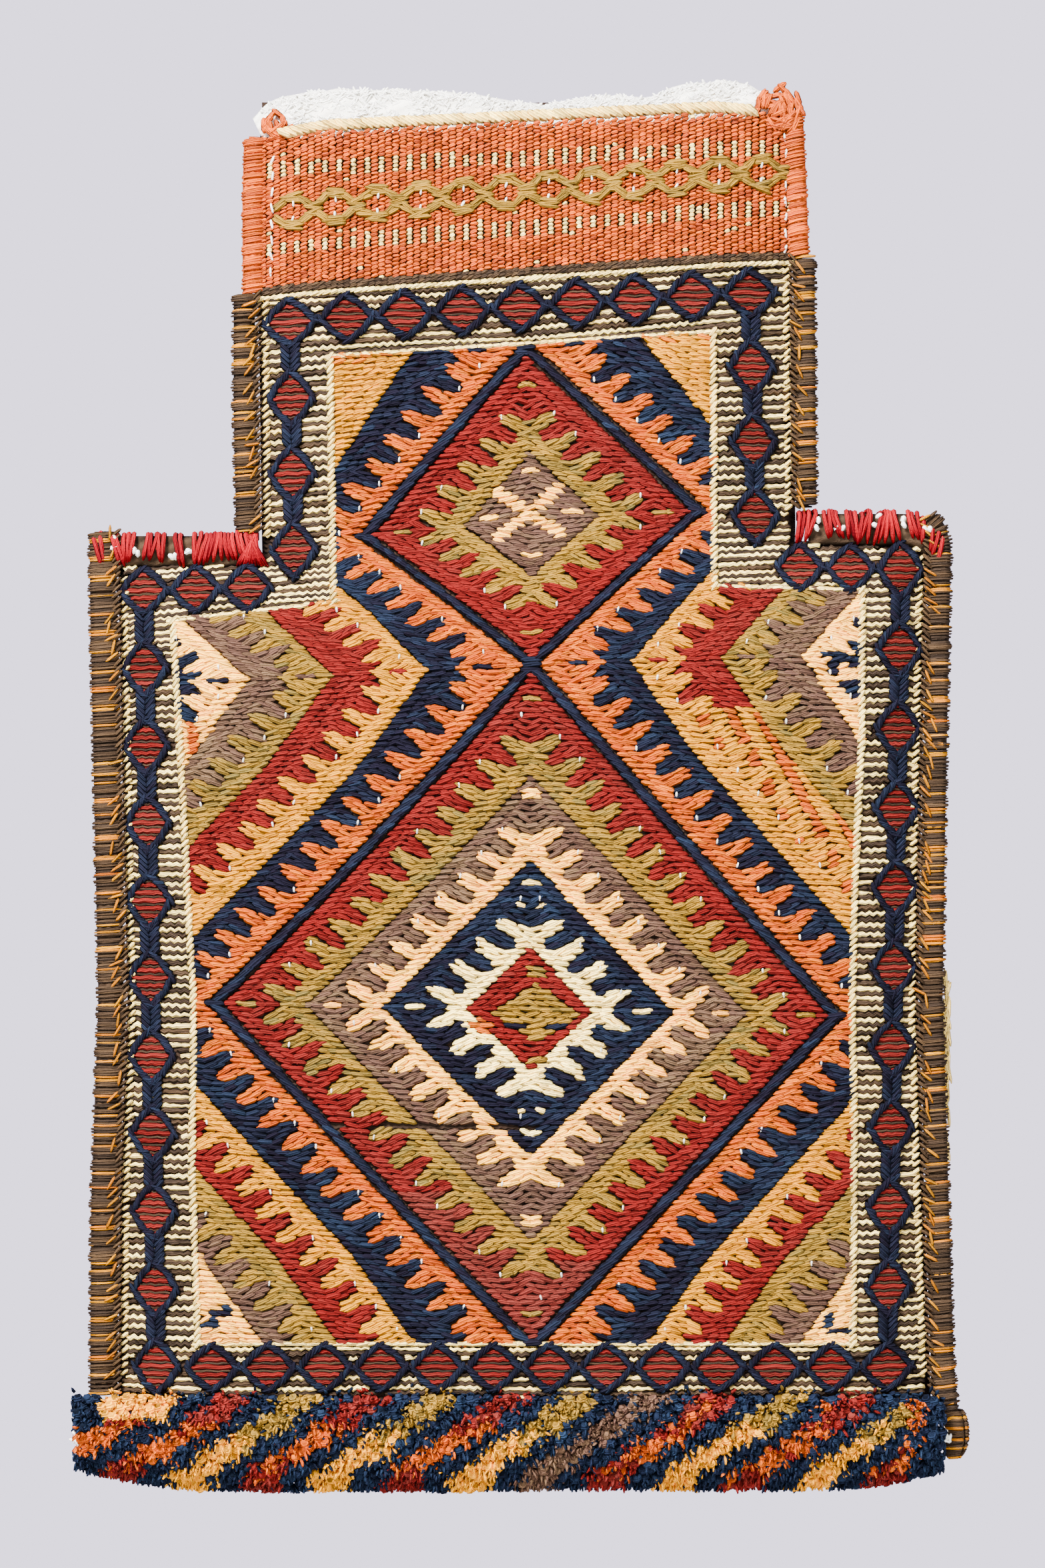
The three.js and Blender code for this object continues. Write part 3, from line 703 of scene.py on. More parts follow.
def add_warp_dots():
    """Short upright ends of white warp between the hooks"""
    rng = seeded("dots")
    dots = hook_dots()
    dots = dots[rng.random(len(dots)) < 0.62]
    x, y = lay(dots[:, 0], dots[:, 1])
    kept = inside(x, y, FIELD)
    x, y = x[kept], y[kept]
    angle = np.pi / 2 + rng.normal(0, 0.15, len(x))
    batch = stitches(x, y + 0.4, 1.0, angle, 0.42, 0.42, 1.9, rng)
    add_yarn("warp_dots", "white", [batch])


# Border

# Straight parts of the lozenges' chain: first and last middle, and how many lozenges
CHAINS = [
    ((-91, 179.3), (87.2, 190.6), 9), ((-91, 179.3), (-89.4, 91.3), 4),
    ((-107.4, 76.6), (-147.6, 75.4), 3), ((-147.6, 75.4), (-142.6, -225), 11),
    ((-142.6, -225), (140.4, -225), 14), ((145.9, 83.7), (140.4, -225), 11),
    ((106.6, 84.6), (145.9, 83.7), 3), ((87.2, 190.6), (89.4, 104.5), 4),
]

# Half sizes of an upright lozenge along and across the chain, and how far out its sides bulge
LOZENGE = (11.4, 9.5)
BULGE = 0.57


def chain_run(start, end, count):
    """Direction and pitch of a straight part of the chain, and whether it is upright"""
    run = np.array(end) - start
    whole = np.hypot(*run)
    return run / whole, whole / (count - 1), abs(run[1]) > abs(run[0])


def lozenges():
    """Every lozenge: its middle, the chain's direction, two half sizes, and if it is upright"""
    found = {}
    for start, end, count in CHAINS:
        along, pitch, upright = chain_run(start, end, count)
        half = LOZENGE if upright else (pitch / 2 - 0.2, 9.8)
        for k in range(count):
            centre = start + along * pitch * k
            key = (round(centre[0]), round(centre[1]))
            found.setdefault(key, (centre, along, *half, upright))
    return list(found.values())


def wavy_lines():
    """Weft lines of the border as strands, the cream ones and the brown ones"""
    rng = seeded("wefts")
    chain = lozenges()
    lines = {"cream": [], "brown": []}
    foot, top, shortest = -34.0, 23.0, 3
    count = int((lay(0, top)[1] - lay(0, foot)[1]) / sizes()["weft_pitch"])
    for k, v in enumerate(np.linspace(foot, top, count)):
        x, y = lay(np.arange(-165, 165, 1.55) / STEP, v)
        y = y + 0.5 * np.sin(2 * np.pi * x / 3.3 + 1.2 * np.sin(y / 7)) + 0.35 * np.sin(x / 19 + k)
        ground = inside(x, y, EDGE) & (distance_to(x, y, EDGE) > 1.2) & (y > -237)
        ground &= ~inside(x, y, FIELD) & (y < line_height(x, NECK_FOOT) - 1.5)
        for centre, _, half_long, half_wide, upright in chain:
            dx, dy = np.abs(x - centre[0]), np.abs(y - centre[1])
            if upright:
                dx, dy = dy, dx
            ground &= dx / half_long + dy / half_wide > 1.1
        edges = np.flatnonzero(np.diff(np.concatenate([[0], ground.astype(int), [0]])))
        for start, end in edges.reshape(-1, 2):
            if end - start >= shortest:
                px, py = x[start:end], y[start:end]
                z = face_height(px, py) + 0.45 + rng.normal(0, 0.05, end - start)
                lines["cream" if k % 2 == 0 else "brown"].append(np.stack([px, py, z], axis=-1))
    return lines


def add_wefts():
    """Wavy weft lines of the border's ground"""
    lines = wavy_lines()
    for yarn, half, mean_tint, slot in (
        ("cream", 0.94, 0.25, "ground_weave"), ("brown", 0.98, 0.02, "goat_hair"),
    ):
        rng = seeded(f"weft {yarn}")
        batches = []
        for line in lines[yarn]:
            swell = half * rng.normal(1, 0.2, len(line))
            batches.append(sweep(
                line[None], swell[None], 0.85 * swell[None] / half, sides=4, chance=rng.random(1),
                tint=shades(rng, mean_tint, 0.2, 1),
            ))
        add_yarn(f"{yarn}_weft_lines", yarn, batches, slot=slot)


def lozenge(centre, along, half_long, half_wide):
    """Closed path round a lozenge whose sides bulge a little"""
    x, y = centre
    ax, ay = along
    tips = [(1, 0), (BULGE, BULGE), (0, 1), (-BULGE, BULGE), (-1, 0), (-BULGE, -BULGE), (0, -1),
            (BULGE, -BULGE), (1, 0)]
    return [
        (x + ax * a * half_long - ay * b * half_wide, y + ay * a * half_long + ax * b * half_wide)
        for a, b in tips
    ]


def lozenge_fill(centre, half_x, half_y, rng):
    """Thin weft lines inside a lozenge, red and brown by turns"""
    pitch = 1.5
    taper = np.array([[0.4, 1, 1, 1, 1, 1, 1, 1, 0.4]])
    lines = {"red": [], "brown": []}
    count = int(half_y / pitch)
    for k in range(-count, count + 1):
        yarn, lift, thick = ("red", 1.1, 1.12) if k % 2 == 0 else ("brown", 0.8, 0.6)
        reach = half_x * np.interp(abs(k * pitch) / half_y, (0, BULGE, 1), (1, BULGE, 0)) + 1.2
        x = centre[0] + np.linspace(-reach, reach, 9)
        y = centre[1] + k * pitch + 0.25 * np.sin(2 * np.pi * x / 3.1)
        line = np.stack([x, y, face_height(x, y) + lift], axis=-1)[None]
        lines[yarn].append(sweep(
            line, thick * taper, 0.75, sides=4, chance=rng.random(1), tint=rng.random(1) * 0.4,
        ))
    return lines


def add_border_chain():
    """Chain of navy lozenges round the border, with red and brown lines inside them"""
    rng = seeded("chain")
    navy, red, brown = [], [], []
    for centre, along, half_long, half_wide, upright in lozenges():
        ring = lozenge(centre, along, half_long - 0.9, half_wide - 0.9)
        navy.append(on_path(ring, 1.7, 27, rng, 2.3, 0.92, 1.1, 1.7, 0.2))
        half_x, half_y = (half_wide, half_long) if upright else (half_long, half_wide)
        lines = lozenge_fill(centre, half_x - 2.1, half_y - 1.8, rng)
        red += lines["red"]
        brown += lines["brown"]
    for start, end, count in CHAINS:
        along, pitch, upright = chain_run(start, end, count)
        if not upright:
            continue
        reach = pitch - 2 * LOZENGE[0] + 3
        for k in range(count - 1):
            for at in np.arange(-reach / 2, reach / 2 + 0.1, 2.0):
                x, y = start + along * (pitch * (k + 0.5) + at)
                navy.append(stitches(
                    x + np.array([-1.9, 1.9]), y + np.zeros(2), 2.8, np.radians([-46, 46]), 1.1,
                    1.0, 1.6, rng, rng.random(2) * 0.5,
                ))
    add_yarn("border_lozenges", "navy", navy, "border_chain")
    add_yarn("lozenge_red_lines", "red", red)
    add_yarn("lozenge_brown_lines", "brown", brown)


def add_border_cords():
    """Cream twisted cords at the field's edge and inside the bindings"""
    rng = seeded("cords")
    batches = [
        on_path(FIELD[first:last], 2.4, -40, rng, 2.1, 0.85, 0.8, 1.5, 0.4)
        for first, last in ((0, 2), (2, 8), (8, 14), (14, 16))
    ]
    for path in (FIELD[1:3], FIELD[7:9], FIELD[13:15], [FIELD[15], FIELD[0]]):
        batches.append(on_path(path, 3.0, 4, rng, 2.9, 0.95, 0.6, 1.2))
    for path in (
        [(-155.4, 80), (-154, -5), (-152.4, -84), (-155, -162), (-155.4, -228)],
        [(153.8, 88), (151.6, -5), (150.4, -84), (152.6, -162), (155, -228)],
        [(-100.8, 186.5), (-100, 98)], [(101.8, 200), (102.6, 108)],
    ):
        batches.append(on_path(path, 2.9, -52, rng, 1.9, 0.78, 0.7, 1.4, 0.45))
    add_yarn("cream_cords", "cream", batches)


# Neck

# Rows across the neck, each as two places on its line
NECK_ROWS = {
    "upper_dots": ((-97.5, 238.4), (96.5, 246.7)),
    "lower_dots": ((-97.5, 207.7), (101, 223.9)),
    "chain": ((-98, 221.5), (100, 238)),
}


def add_neck_weave():
    """Plain weave of the neck, pick by pick, with its rows of cream dots"""
    size = sizes()
    rng = seeded("neck")
    places = []
    for k, x in enumerate(np.arange(-104.4, 106, size["rib_pitch"])):
        low = line_height(x, NECK_FOOT) + 2.6
        high = line_height(x, (LIP_LEFT, LIP_RIGHT)) + 1.2
        y = np.arange(low + (k % 2) * size["bead_pitch"] / 2, high, size["bead_pitch"])
        dotted = np.zeros(len(y), bool)
        if k % 2 == 0:
            for row in ("upper_dots", "lower_dots"):
                dotted |= np.abs(y - line_height(x, NECK_ROWS[row])) < 2.9
        dotted |= rng.random(len(y)) < 0.012
        places.append(np.stack([np.full(len(y), x), y, dotted], axis=1))
    x, y, dotted = np.concatenate(places).T
    for name, chosen, yarn, reach, nodes in (
        ("neck_weave", dotted == 0, "rust", 1.42, ["neck_plain_weave"]),
        ("neck_cream_dots", dotted == 1, "cream", 0.95, []),
    ):
        px, py = x[chosen] + rng.normal(0, 0.1, chosen.sum()), y[chosen]
        tint = rng.normal(0.38, 0.32, len(px)) + 0.35 * (drift(px, py * 0.3, 3) - 0.5)
        angle = rng.normal(0.22, 0.14, len(px))
        batch = stitches(px, py, reach, angle, 0.84, 0.9, 1.0, rng, np.clip(tint, 0, 1))
        add_yarn(name, yarn, [batch], *nodes)


# Bars of one ring of the neck's chain: place from its middle, half length and angle
RING_BARS = [
    (-5.0, 4.3, 3.4, 30), (5.0, 4.3, 3.4, -30), (-5.0, -4.3, 3.4, -30), (5.0, -4.3, 3.4, 30),
    (-4.8, 2.9, 3.0, 34), (4.8, 2.9, 3.0, -34), (-4.8, -2.9, 3.0, -34), (4.8, -2.9, 3.0, 34),
    (8.2, 2.2, 3.6, 8), (8.2, 0.8, 4.0, -6), (8.2, -0.8, 3.8, 5), (8.2, -2.2, 3.6, -8),
    (0.3, 7.2, 3.9, 3), (-0.4, 5.9, 4.7, -3), (0.4, 4.6, 3.9, 2),
    (0.3, -7.2, 3.9, -3), (-0.4, -5.9, 4.7, 3), (0.4, -4.6, 3.9, -2),
]
# Middles of the twelve rings, as shares of the chain's length
RING_SHARES = (np.arange(12) + 0.5) / 12


def add_neck_chain():
    """Olive chain that is wrapped across the neck"""
    rng = seeded("neck chain")
    (ax, ay), (bx, by) = NECK_ROWS["chain"]
    rows = []
    for share in RING_SHARES:
        for dx, dy, reach, angle in RING_BARS:
            x = ax + (bx - ax) * share + dx
            rows.append((x, ay + (by - ay) * share + dy * 0.9 + dx * 0.07, reach, angle))
    x, y, reach, angle = np.array(rows).T
    batch = stitches(
        x, y, reach, np.radians(angle + rng.normal(3, 8, len(x))), 1.0, 0.9, 1.9, rng,
        shades(rng, 0.12, 0.2, len(x)), sides=5,
    )
    add_yarn("neck_chain_wrapping", "olive", [batch], "neck_olive_chain")


def add_neck_trim():
    """Dark and cream lines below the neck's weave, and white running stitches"""
    rng = seeded("neck trim")
    x = np.linspace(-103, 104, 30)
    lines = []
    for rise, slant, lift in ((1.5, 12, 1.2), (0.1, 12, 1.2), (-1.9, 14, 1.1)):
        path = np.stack([x, line_height(x, NECK_FOOT) + rise], axis=1)
        lines.append(on_path(path, 2.4, slant, rng, 2.2, 0.95, 0.7, lift))
    middle = np.interp(RING_SHARES, (0, 1), (-98, 100))
    y = line_height(middle, NECK_ROWS["chain"])
    x = np.stack([middle + 0.2, middle - 0.1], axis=1).ravel()
    y = np.stack([y + 3.1, y - 3.1], axis=1).ravel()
    angle = np.radians(78) + rng.normal(0, 0.2, len(x))
    white = [stitches(x, y, 1.3, angle, 0.5, 0.45, 2.2, rng)]
    for low, high in (((-98.5, 199), (-98, 247)), ((101.5, 208), (101.2, 252))):
        y = np.arange(low[1], high[1], 6.2)
        x = np.interp(y, (low[1], high[1]), (low[0], high[0])) + rng.normal(0, 0.3, len(y))
        angle = np.pi / 2 + rng.normal(0, 0.2, len(y))
        white.append(stitches(x, y, 1.9, angle, 0.5, 0.45, 1.9, rng))
    add_yarn("neck_brown_line", "brown", lines[:2])
    add_yarn("neck_cream_line", "cream", lines[2:])
    add_yarn("running_stitches", "white", white)


# Mouth

def mouth_cord(rng):
    """Twisted cord on the front lip"""
    def lip_height(px, _):
        return np.interp(px, (-96, -82, 84, 92), (9.4, 11.6, 11.6, 9.6))

    x, y, angle = along_path([
        (-93, 252.6), (-77, 255.3), (-50, 256.6), (0, 258.9), (50, 261.3), (74, 262.3), (88, 261.4),
    ], 2.5)
    return stitches(
        x, y, 3.1, angle - 0.62 + rng.normal(0, 0.06, len(x)), 1.5, 1.5, 1.7, rng,
        shades(rng, 0.7, 0.2, len(x)), lip_height,
    )


# Upper edge of the back lip
BACK_LIP = np.array([
    (-104, 260), (-98, 266), (-86, 269.4), (-70, 270.8), (-52, 270.6), (-34, 270), (-16, 268.2),
    (-4, 266), (8, 264.6), (20, 267), (34, 268.6), (47, 267.2), (56, 270.6), (64, 272.8),
    (76, 274.2), (86, 272.6), (95, 267),
])


def back_lip(rng):
    """Soft fold of the back lip, and the loose fibres on it"""
    lip_x, back = BACK_LIP.T
    front = np.interp(lip_x, (-104, -80, 0, 95), (252, 252.5, 256, 258.5))
    fine = np.linspace(-104, 95, 90)
    back, front = np.interp(fine, lip_x, back), np.interp(fine, lip_x, front)
    middle = (back + front) / 2 + 0.3 * np.sin(fine / 3.1)
    half = (back - front) / 2 + 0.35 * np.sin(fine / 2.3 + 1) * np.sin(fine / 7)
    high = 1.5 + 0.3 * np.sin(fine / 4.3) + 0.2 * np.sin(fine / 1.9)
    fold = tube(np.stack([fine, middle, np.full(len(fine), 4.2)], axis=1), half, high, 12, rng)
    x = rng.uniform(-101, 92, 1500)
    edge, low = np.interp(x, fine, back), np.interp(x, fine, front)
    y = edge - (edge - low) * rng.random(len(x)) ** 1.6
    angle = rng.uniform(-1.2, 1.2, len(x))
    return [fold, stitches(x, y - 0.9, 2.1, angle, 0.5, 0.5, 0.2, rng, height=5.2)]


def mouth_corners(rng):
    """Bunched yarn at both corners of the mouth"""
    corners = []
    for middle_x, middle_y, wide, high, count in (
        (-96.5, 255, 5.4, 5.8, 26), (98.5, 262, 9.0, 9.5, 60),
    ):
        turn = rng.uniform(0, 2 * np.pi, count)
        far = rng.random(count) ** 0.5
        corners.append(np.stack([
            middle_x + wide * far * np.cos(turn), middle_y + high * far * np.sin(turn),
            turn + np.pi / 2, 7.6 + 3.2 * (1 - far),
        ]))
    x, y, angle, z = np.concatenate(corners, axis=1)
    return stitches(
        x, y, 3.0, angle + rng.normal(0, 0.3, len(x)), 1.1, 1.2, 0, rng, rng.random(len(x)) * 0.7,
        z[:, None],
    )


def add_mouth():
    """Twisted cord on the front lip, the white fold of the back lip, and the mouth's corners"""
    rng = seeded("mouth")
    add_yarn("mouth_twist", "cream", [mouth_cord(rng)], "mouth_cord")
    add_yarn("back_lip_fold", "white", back_lip(rng), "back_lip")
    add_yarn("mouth_corners", "rust", [mouth_corners(rng)])


# Bindings

# Distance from hair to hair, from bump to bump, and from the floor to a binding's underside
HAIR_PITCH = 1.05
BUMP_PITCH = 7.2
FLOOR_GAP = 0.6
WOUND_TAPER = np.array([0.6, 1, 1, 1, 1, 1, 1, 0.6])


def wound(route, half_width, height, pitch, rng, tilt, puff):
    """Strands wound round an edge that follows a route, from above it round its outer side

    tilt slants each strand, and puff is how far the bumps stand out. Returns the strands, their
    directions away from the edge, and how far each bump swells.
    """
    x, y, angle = along_path(route, pitch)
    count = len(x)
    bumps = np.arange(count) * pitch / BUMP_PITCH + 0.3 * np.sin(y / 31)
    swell = np.abs(np.sin(np.pi * bumps))[:, None]
    turn = np.radians(np.linspace(25, 300, len(WOUND_TAPER))) + rng.normal(0, 0.04, (count, 1))
    away = np.cos(turn) * (half_width - 0.8 + puff * (swell - 0.6))
    middle = FLOOR_GAP + height / 2
    rise = middle + np.sin(turn) * (height / 2 - 0.7 + 0.7 * puff * (swell - 0.6))
    lean = np.linspace(-1, 1, len(WOUND_TAPER)) * tilt + rng.normal(0, 0.3, (count, 1))
    sine, cosine = np.sin(angle)[:, None], np.cos(angle)[:, None]
    lines = np.stack([
        x[:, None] - sine * away + cosine * lean, y[:, None] + cosine * away + sine * lean, rise,
    ], axis=-1)
    centre = np.stack([x, y, np.full(count, middle)], axis=1)[:, None]
    return lines, lines - centre, swell[:, 0]


def add_binding(name, route, half_width, height, node):
    """Dark goat hair wound round an edge in bumps, with gold strands among it"""
    rng = seeded(name)
    lines, ups, swell = wound(route, half_width, height, HAIR_PITCH, rng, 0.6, 1.1)
    count = len(lines)
    turn = np.mod(np.arange(count) * HAIR_PITCH / BUMP_PITCH + 0.12, 1)
    gold = (turn < 0.22) & (rng.random(count) < 0.75)
    gold |= rng.random(count) < 0.05
    x, y, _ = along_path(route, 6)
    core = np.stack([x, y, np.full(len(x), FLOOR_GAP + height / 2)], axis=1)
    for piece, yarn, chosen, thick, nodes in (
        (name, "brown", ~gold, 0.72, [node]), (f"{name}_gold_strands", "gold", gold, 0.66, []),
    ):
        count = chosen.sum()
        tints = np.clip(0.5 * swell[chosen] + rng.normal(0, 0.25, count), 0, 1)
        half = thick * rng.normal(1, 0.14, (count, 1)) * WOUND_TAPER
        batches = [sweep(lines[chosen], half, 0.66, 4, ups[chosen], rng.random(count), tints)]
        if yarn == "brown":
            batches.append(tube(core, half_width - 1.6, height / 2 - 1.3, 8, rng))
        add_yarn(piece, yarn, batches, *nodes)


# Route, half width and height of each binding
SIDE_ROUTES = {
    "left_side": ([(-164.2, 98), (-164, 70), (-162.4, -5.7), (-160.8, -83.7), (-163.6, -161.7),
                   (-164, -236)], 6.6, 9.0),
    "right_side": ([(157, 103.5), (160, 99.5), (161.6, 93), (161.2, 70), (159.6, -5.7),
                    (158.4, -83.7), (160.8, -161.7), (162.8, -225), (164.6, -246)], 5.8, 9.0),
    "left_neck": ([(-109, 190.4), (-109, 145), (-108, 99.4)], 5.8, 8.8),
    "right_neck": ([(109, 204.6), (109.4, 150), (109.8, 109)], 5.4, 8.8),
}


def add_bindings():
    """Wound bindings at both sides of the body and the neck, with gold lines inside them"""
    for name, (route, half_width, height) in SIDE_ROUTES.items():
        side = 1 if name.startswith("left") else -1
        facing = route if side < 0 else route[::-1]
        add_binding(f"{name}_wrapping", facing, half_width, height, f"{name}_binding")
        rng = seeded(f"{name} line")
        inner = [(x + side * half_width * 0.5, y) for x, y in route]
        x, y, angle = along_path(inner, 3.7)
        kept = rng.random(len(x)) < 0.62
        x, y, angle = x[kept], y[kept], angle[kept]
        angle = angle - side * np.radians(40) + rng.normal(0, 0.3, len(x))
        line = stitches(
            x + rng.normal(0, 0.7, len(x)), y, 3.0, angle, 0.55, 0.55, 0.5, rng,
            rng.random(len(x)) * 0.6, 8.9,
        )
        add_yarn(f"{name}_gold_line", "gold", [line])
        edge = [(x + side * (half_width * 0.8 + 0.3), y) for x, y in route]
        line = on_path(edge, 2.4, -side * 48, rng, 2.6, 0.7, 0.7, 0.4, 0.8, 7.6)
        add_yarn(f"{name}_hair_line", "brown", [line])


def add_selvages():
    """Rust yarn wound round both edges of the neck, above the bindings"""
    for name, half_width, route in (
        ("left", 5.0, [(-105.6, 191.8), (-105.8, 225), (-105.2, 251)]),
        ("right", 4.8, [(104.6, 259), (105.8, 235), (106.8, 206)]),
    ):
        rng = seeded(f"{name} selvage")
        lines, ups, _ = wound(route, half_width, 8.4, 1.4, rng, 1.4, 1.0)
        count = len(lines)
        half = 0.85 * rng.normal(1, 0.2, (count, 1)) * WOUND_TAPER
        chance = rng.random(count)
        roll = sweep(lines, half, 0.75, 5, ups, chance, shades(rng, 0.35, 0.3, count))
        x, y, _ = along_path(route, 5)
        core = tube(np.stack([x, y, np.full(len(x), 4.8)], axis=1), half_width - 1, 3.3, 8, rng)
        add_yarn(f"{name}_neck_roll", "rust", [roll, core], f"{name}_neck_selvage")


# Shoulders

# A loop from the body's side to the neck's side: place along Y and height
LOOP_PROFILE = np.array([
    (-6.0, 6.6), (-3.6, 8.8), (0, 9.7), (3.4, 8.8), (5.4, 5.8), (5.0, 2.8), (2.4, 1.1),
])


LOOP_TAPER = np.array([0.55, 1, 1, 1, 1, 1, 0.7])
LOOP_LEAN = np.array([1, 1, 1, 1, 0.6, 0.3, 0])
LOOP_LIFT = 0.25


def sewn_loops(places, rng):
    """Loops over the edge of a shoulder. places are x, y, lean and length of each loop"""
    x, y, lean, reach = (column[:, None] for column in np.asarray(places, float).T)
    run, rise = LOOP_PROFILE.T
    drop = run * np.where(run < 0, reach, 1)
    lines = np.stack([
        x + lean * run * LOOP_LEAN, y + drop, np.broadcast_to(rise + LOOP_LIFT, drop.shape),
    ], axis=-1)
    ups = lines - np.stack([x, y, np.full(x.shape, 4.0)], axis=-1)
    count = len(lines)
    lines = lines + rng.normal(0, 0.12, (count, 1, 3))
    chance = rng.random(count)
    return sweep(lines, 0.95 * LOOP_TAPER, 0.8, 5, ups, chance, shades(rng, 0.3, 0.3, count))


def shoulder_drop(x):
    """How far the right shoulder falls off towards the binding"""
    return 0.06 * np.clip(x - 149, 0, None) ** 2


def add_shoulders():
    """Scarlet loops sewn over the edges of the shoulders, with white and brown bits between"""
    for name, ends, y, gaps, fan in (
        ("left", (-166, -102.5), 92.6, (-161.5, -150, -137.5, -130.5), (-110, -101.5)),
        ("right", (106.5, 162), 101.2, (114, 123.5, 136, 147, 156), None),
    ):
        rng = seeded(f"{name} shoulder")
        places = []
        for x in np.arange(*ends, 1.72):
            if min(abs(x - gap) for gap in gaps) > 1.3:
                lean = 0.28 * np.sin(x / 4.1) + rng.normal(0, 0.12)
                reach = 1 + 0.22 * np.sin(x / 5.3 + 1)
                places.append((x, y - shoulder_drop(x) + rng.normal(0, 0.35), lean, reach))
        if fan:
            for x in np.linspace(*fan, 11):
                turn = (x - np.mean(fan)) / (fan[1] - fan[0])
                places.append((np.mean(fan) + turn * 3, y + 0.4, -1.5 * turn, 1.25))
        add_yarn(
            f"{name}_shoulder_loops", "scarlet", [sewn_loops(places, rng)],
            f"{name}_shoulder_stitching",
        )
        x = np.linspace(ends[0] + 4, ends[1] - 3, 13)
        route = np.stack([x, y - 2.0 - shoulder_drop(x), np.full(len(x), 4.4)], axis=1)
        add_yarn(f"{name}_shoulder_edge", "brown", [tube(route, 6.4, 3.2, 8, rng)])

        def ridge_height(_, py, middle=y):
            return 9.2 - 0.05 * (py - middle) ** 2

        x = np.repeat(gaps, 2) + rng.normal(0, 1.1, 2 * len(gaps))
        bits = stitches(
            x, y + rng.uniform(-4, 3.5, len(x)), 1.3, rng.uniform(0, 3, len(x)), 0.95, 0.8, 0.3,
            rng, 0.1, ridge_height,
        )
        add_yarn(f"{name}_shoulder_bits", "white", [bits])


def add_loose_ends():
    """Cream warp that shows through the right edge, and white ends at both corners of the foot"""
    def edge_height(px, _):
        return 4.2 - 0.25 * np.abs(px - 162)

    rng = seeded("loose ends")
    count = 90
    x, y = rng.uniform(161.2, 165.6, count), rng.uniform(-146, -75, count)
    angle = np.pi / 2 + rng.normal(0, 0.12, count)
    warp = stitches(x, y, 4.2, angle, 0.6, 0.6, 0, rng, 0.5, edge_height)
    tufts = []
    count = 22
    for centre_x, centre_y, z in ((-172.5, -253.0, 14.5), (162.6, -252.0, 12.0)):
        x, y = centre_x + rng.normal(0, 1.1, count), centre_y + rng.normal(0, 1.6, count)
        angle = rng.uniform(0, 3, count)
        tufts.append(stitches(x, y, 1.9, angle, 0.55, 0.6, 0, rng, 0.1, z))
    add_yarn("loose_warp", "cream", [warp])
    add_yarn("white_tufts", "white", tufts)


# Pile

# Section through the pile from its upper edge over the top and down: place along Y and height
PILE_PROFILE = np.array([
    (-236.8, 14.6), (-243, 16.4), (-254, 15.8), (-263, 13.0), (-269.5, 8.6), (-271.6, 4.0),
])

# Ends of the pile, and its slanted stripes: their pitch, where they start, and their wools
PILE_LEFT, PILE_RIGHT = -172.5, 160
STRIPE_PITCH = 26.9
FIRST_STRIPE = -156.5
STRIPES = [
    "red", "gold", "red", "gold", "red", "gold", "taupe", "red", "gold", "red", "gold", "red",
]


def pile_yarn(x, y, rng):
    """Wool and tint of a knot: slanted stripes of changing colour between navy ones"""
    climb = np.clip((y + 266) / 0.66, 0, None)
    at = (x - climb - FIRST_STRIPE) / STRIPE_PITCH + rng.normal(0, 0.02, np.shape(x))
    stripe = np.floor(at + 0.28).astype(int)
    coloured = np.mod(at + 0.28, 1) < 0.56
    kinds = np.array([STRIPES[k] if 0 <= k < len(STRIPES) else "red" for k in stripe])
    high = (y + 274) / 38
    wobble = rng.normal(0, 0.1, np.shape(x))
    yarn = np.where(kinds == "gold", np.where(high + wobble > 0.62, "olive", "gold"), kinds)
    middle = np.abs(high + wobble - 0.5) < 0.22
    yarn = np.where((kinds == "red") & middle, "salmon", yarn)
    yarn = np.where(coloured, yarn, "navy")
    corner = (x - 0.4 * (y + 238) < -134.5) & (y > -246)
    yarn = np.where(corner, np.where((x > -164.5) & (y < -234.5), "gold", "navy"), yarn)
    end = x > 148
    yarn = np.where(end, np.where((x < 154) & (y > -252) & (y < -240), "salmon", "navy"), yarn)
    return yarn


def corner_lift(x, y):
    """How far the pile's lower edge rises towards both ends"""
    low = np.clip((-238 - y) / 34, 0, 1)
    return 6.5 * low * np.clip((np.abs(x + 5) - 112) / 52, 0, 1.1) ** 2


def pile_knots(pitch):
    """X, Y and Z of every knot, row by row, and the Y and Z of the way in which it stands out"""
    runs = np.hypot(*np.diff(PILE_PROFILE, axis=0).T)
    reached = np.concatenate([[0], np.cumsum(runs)])

    def section(at):
        return np.array([np.interp(at, reached, column) for column in PILE_PROFILE.T])

    knots = []
    for k, at in enumerate(np.arange(0.6, reached[-1], pitch * 0.88)):
        run = section(np.minimum(at + 2, reached[-1])) - section(np.maximum(at - 2, 0))
        out = np.array([run[1], -run[0]]) / np.hypot(*run)
        x = np.arange(PILE_LEFT, PILE_RIGHT, pitch) + (k % 2) * pitch / 2
        knots.append(np.stack([x, *(np.full(len(x), value) for value in (*section(at), *out))]))
    return np.concatenate(knots, axis=1)


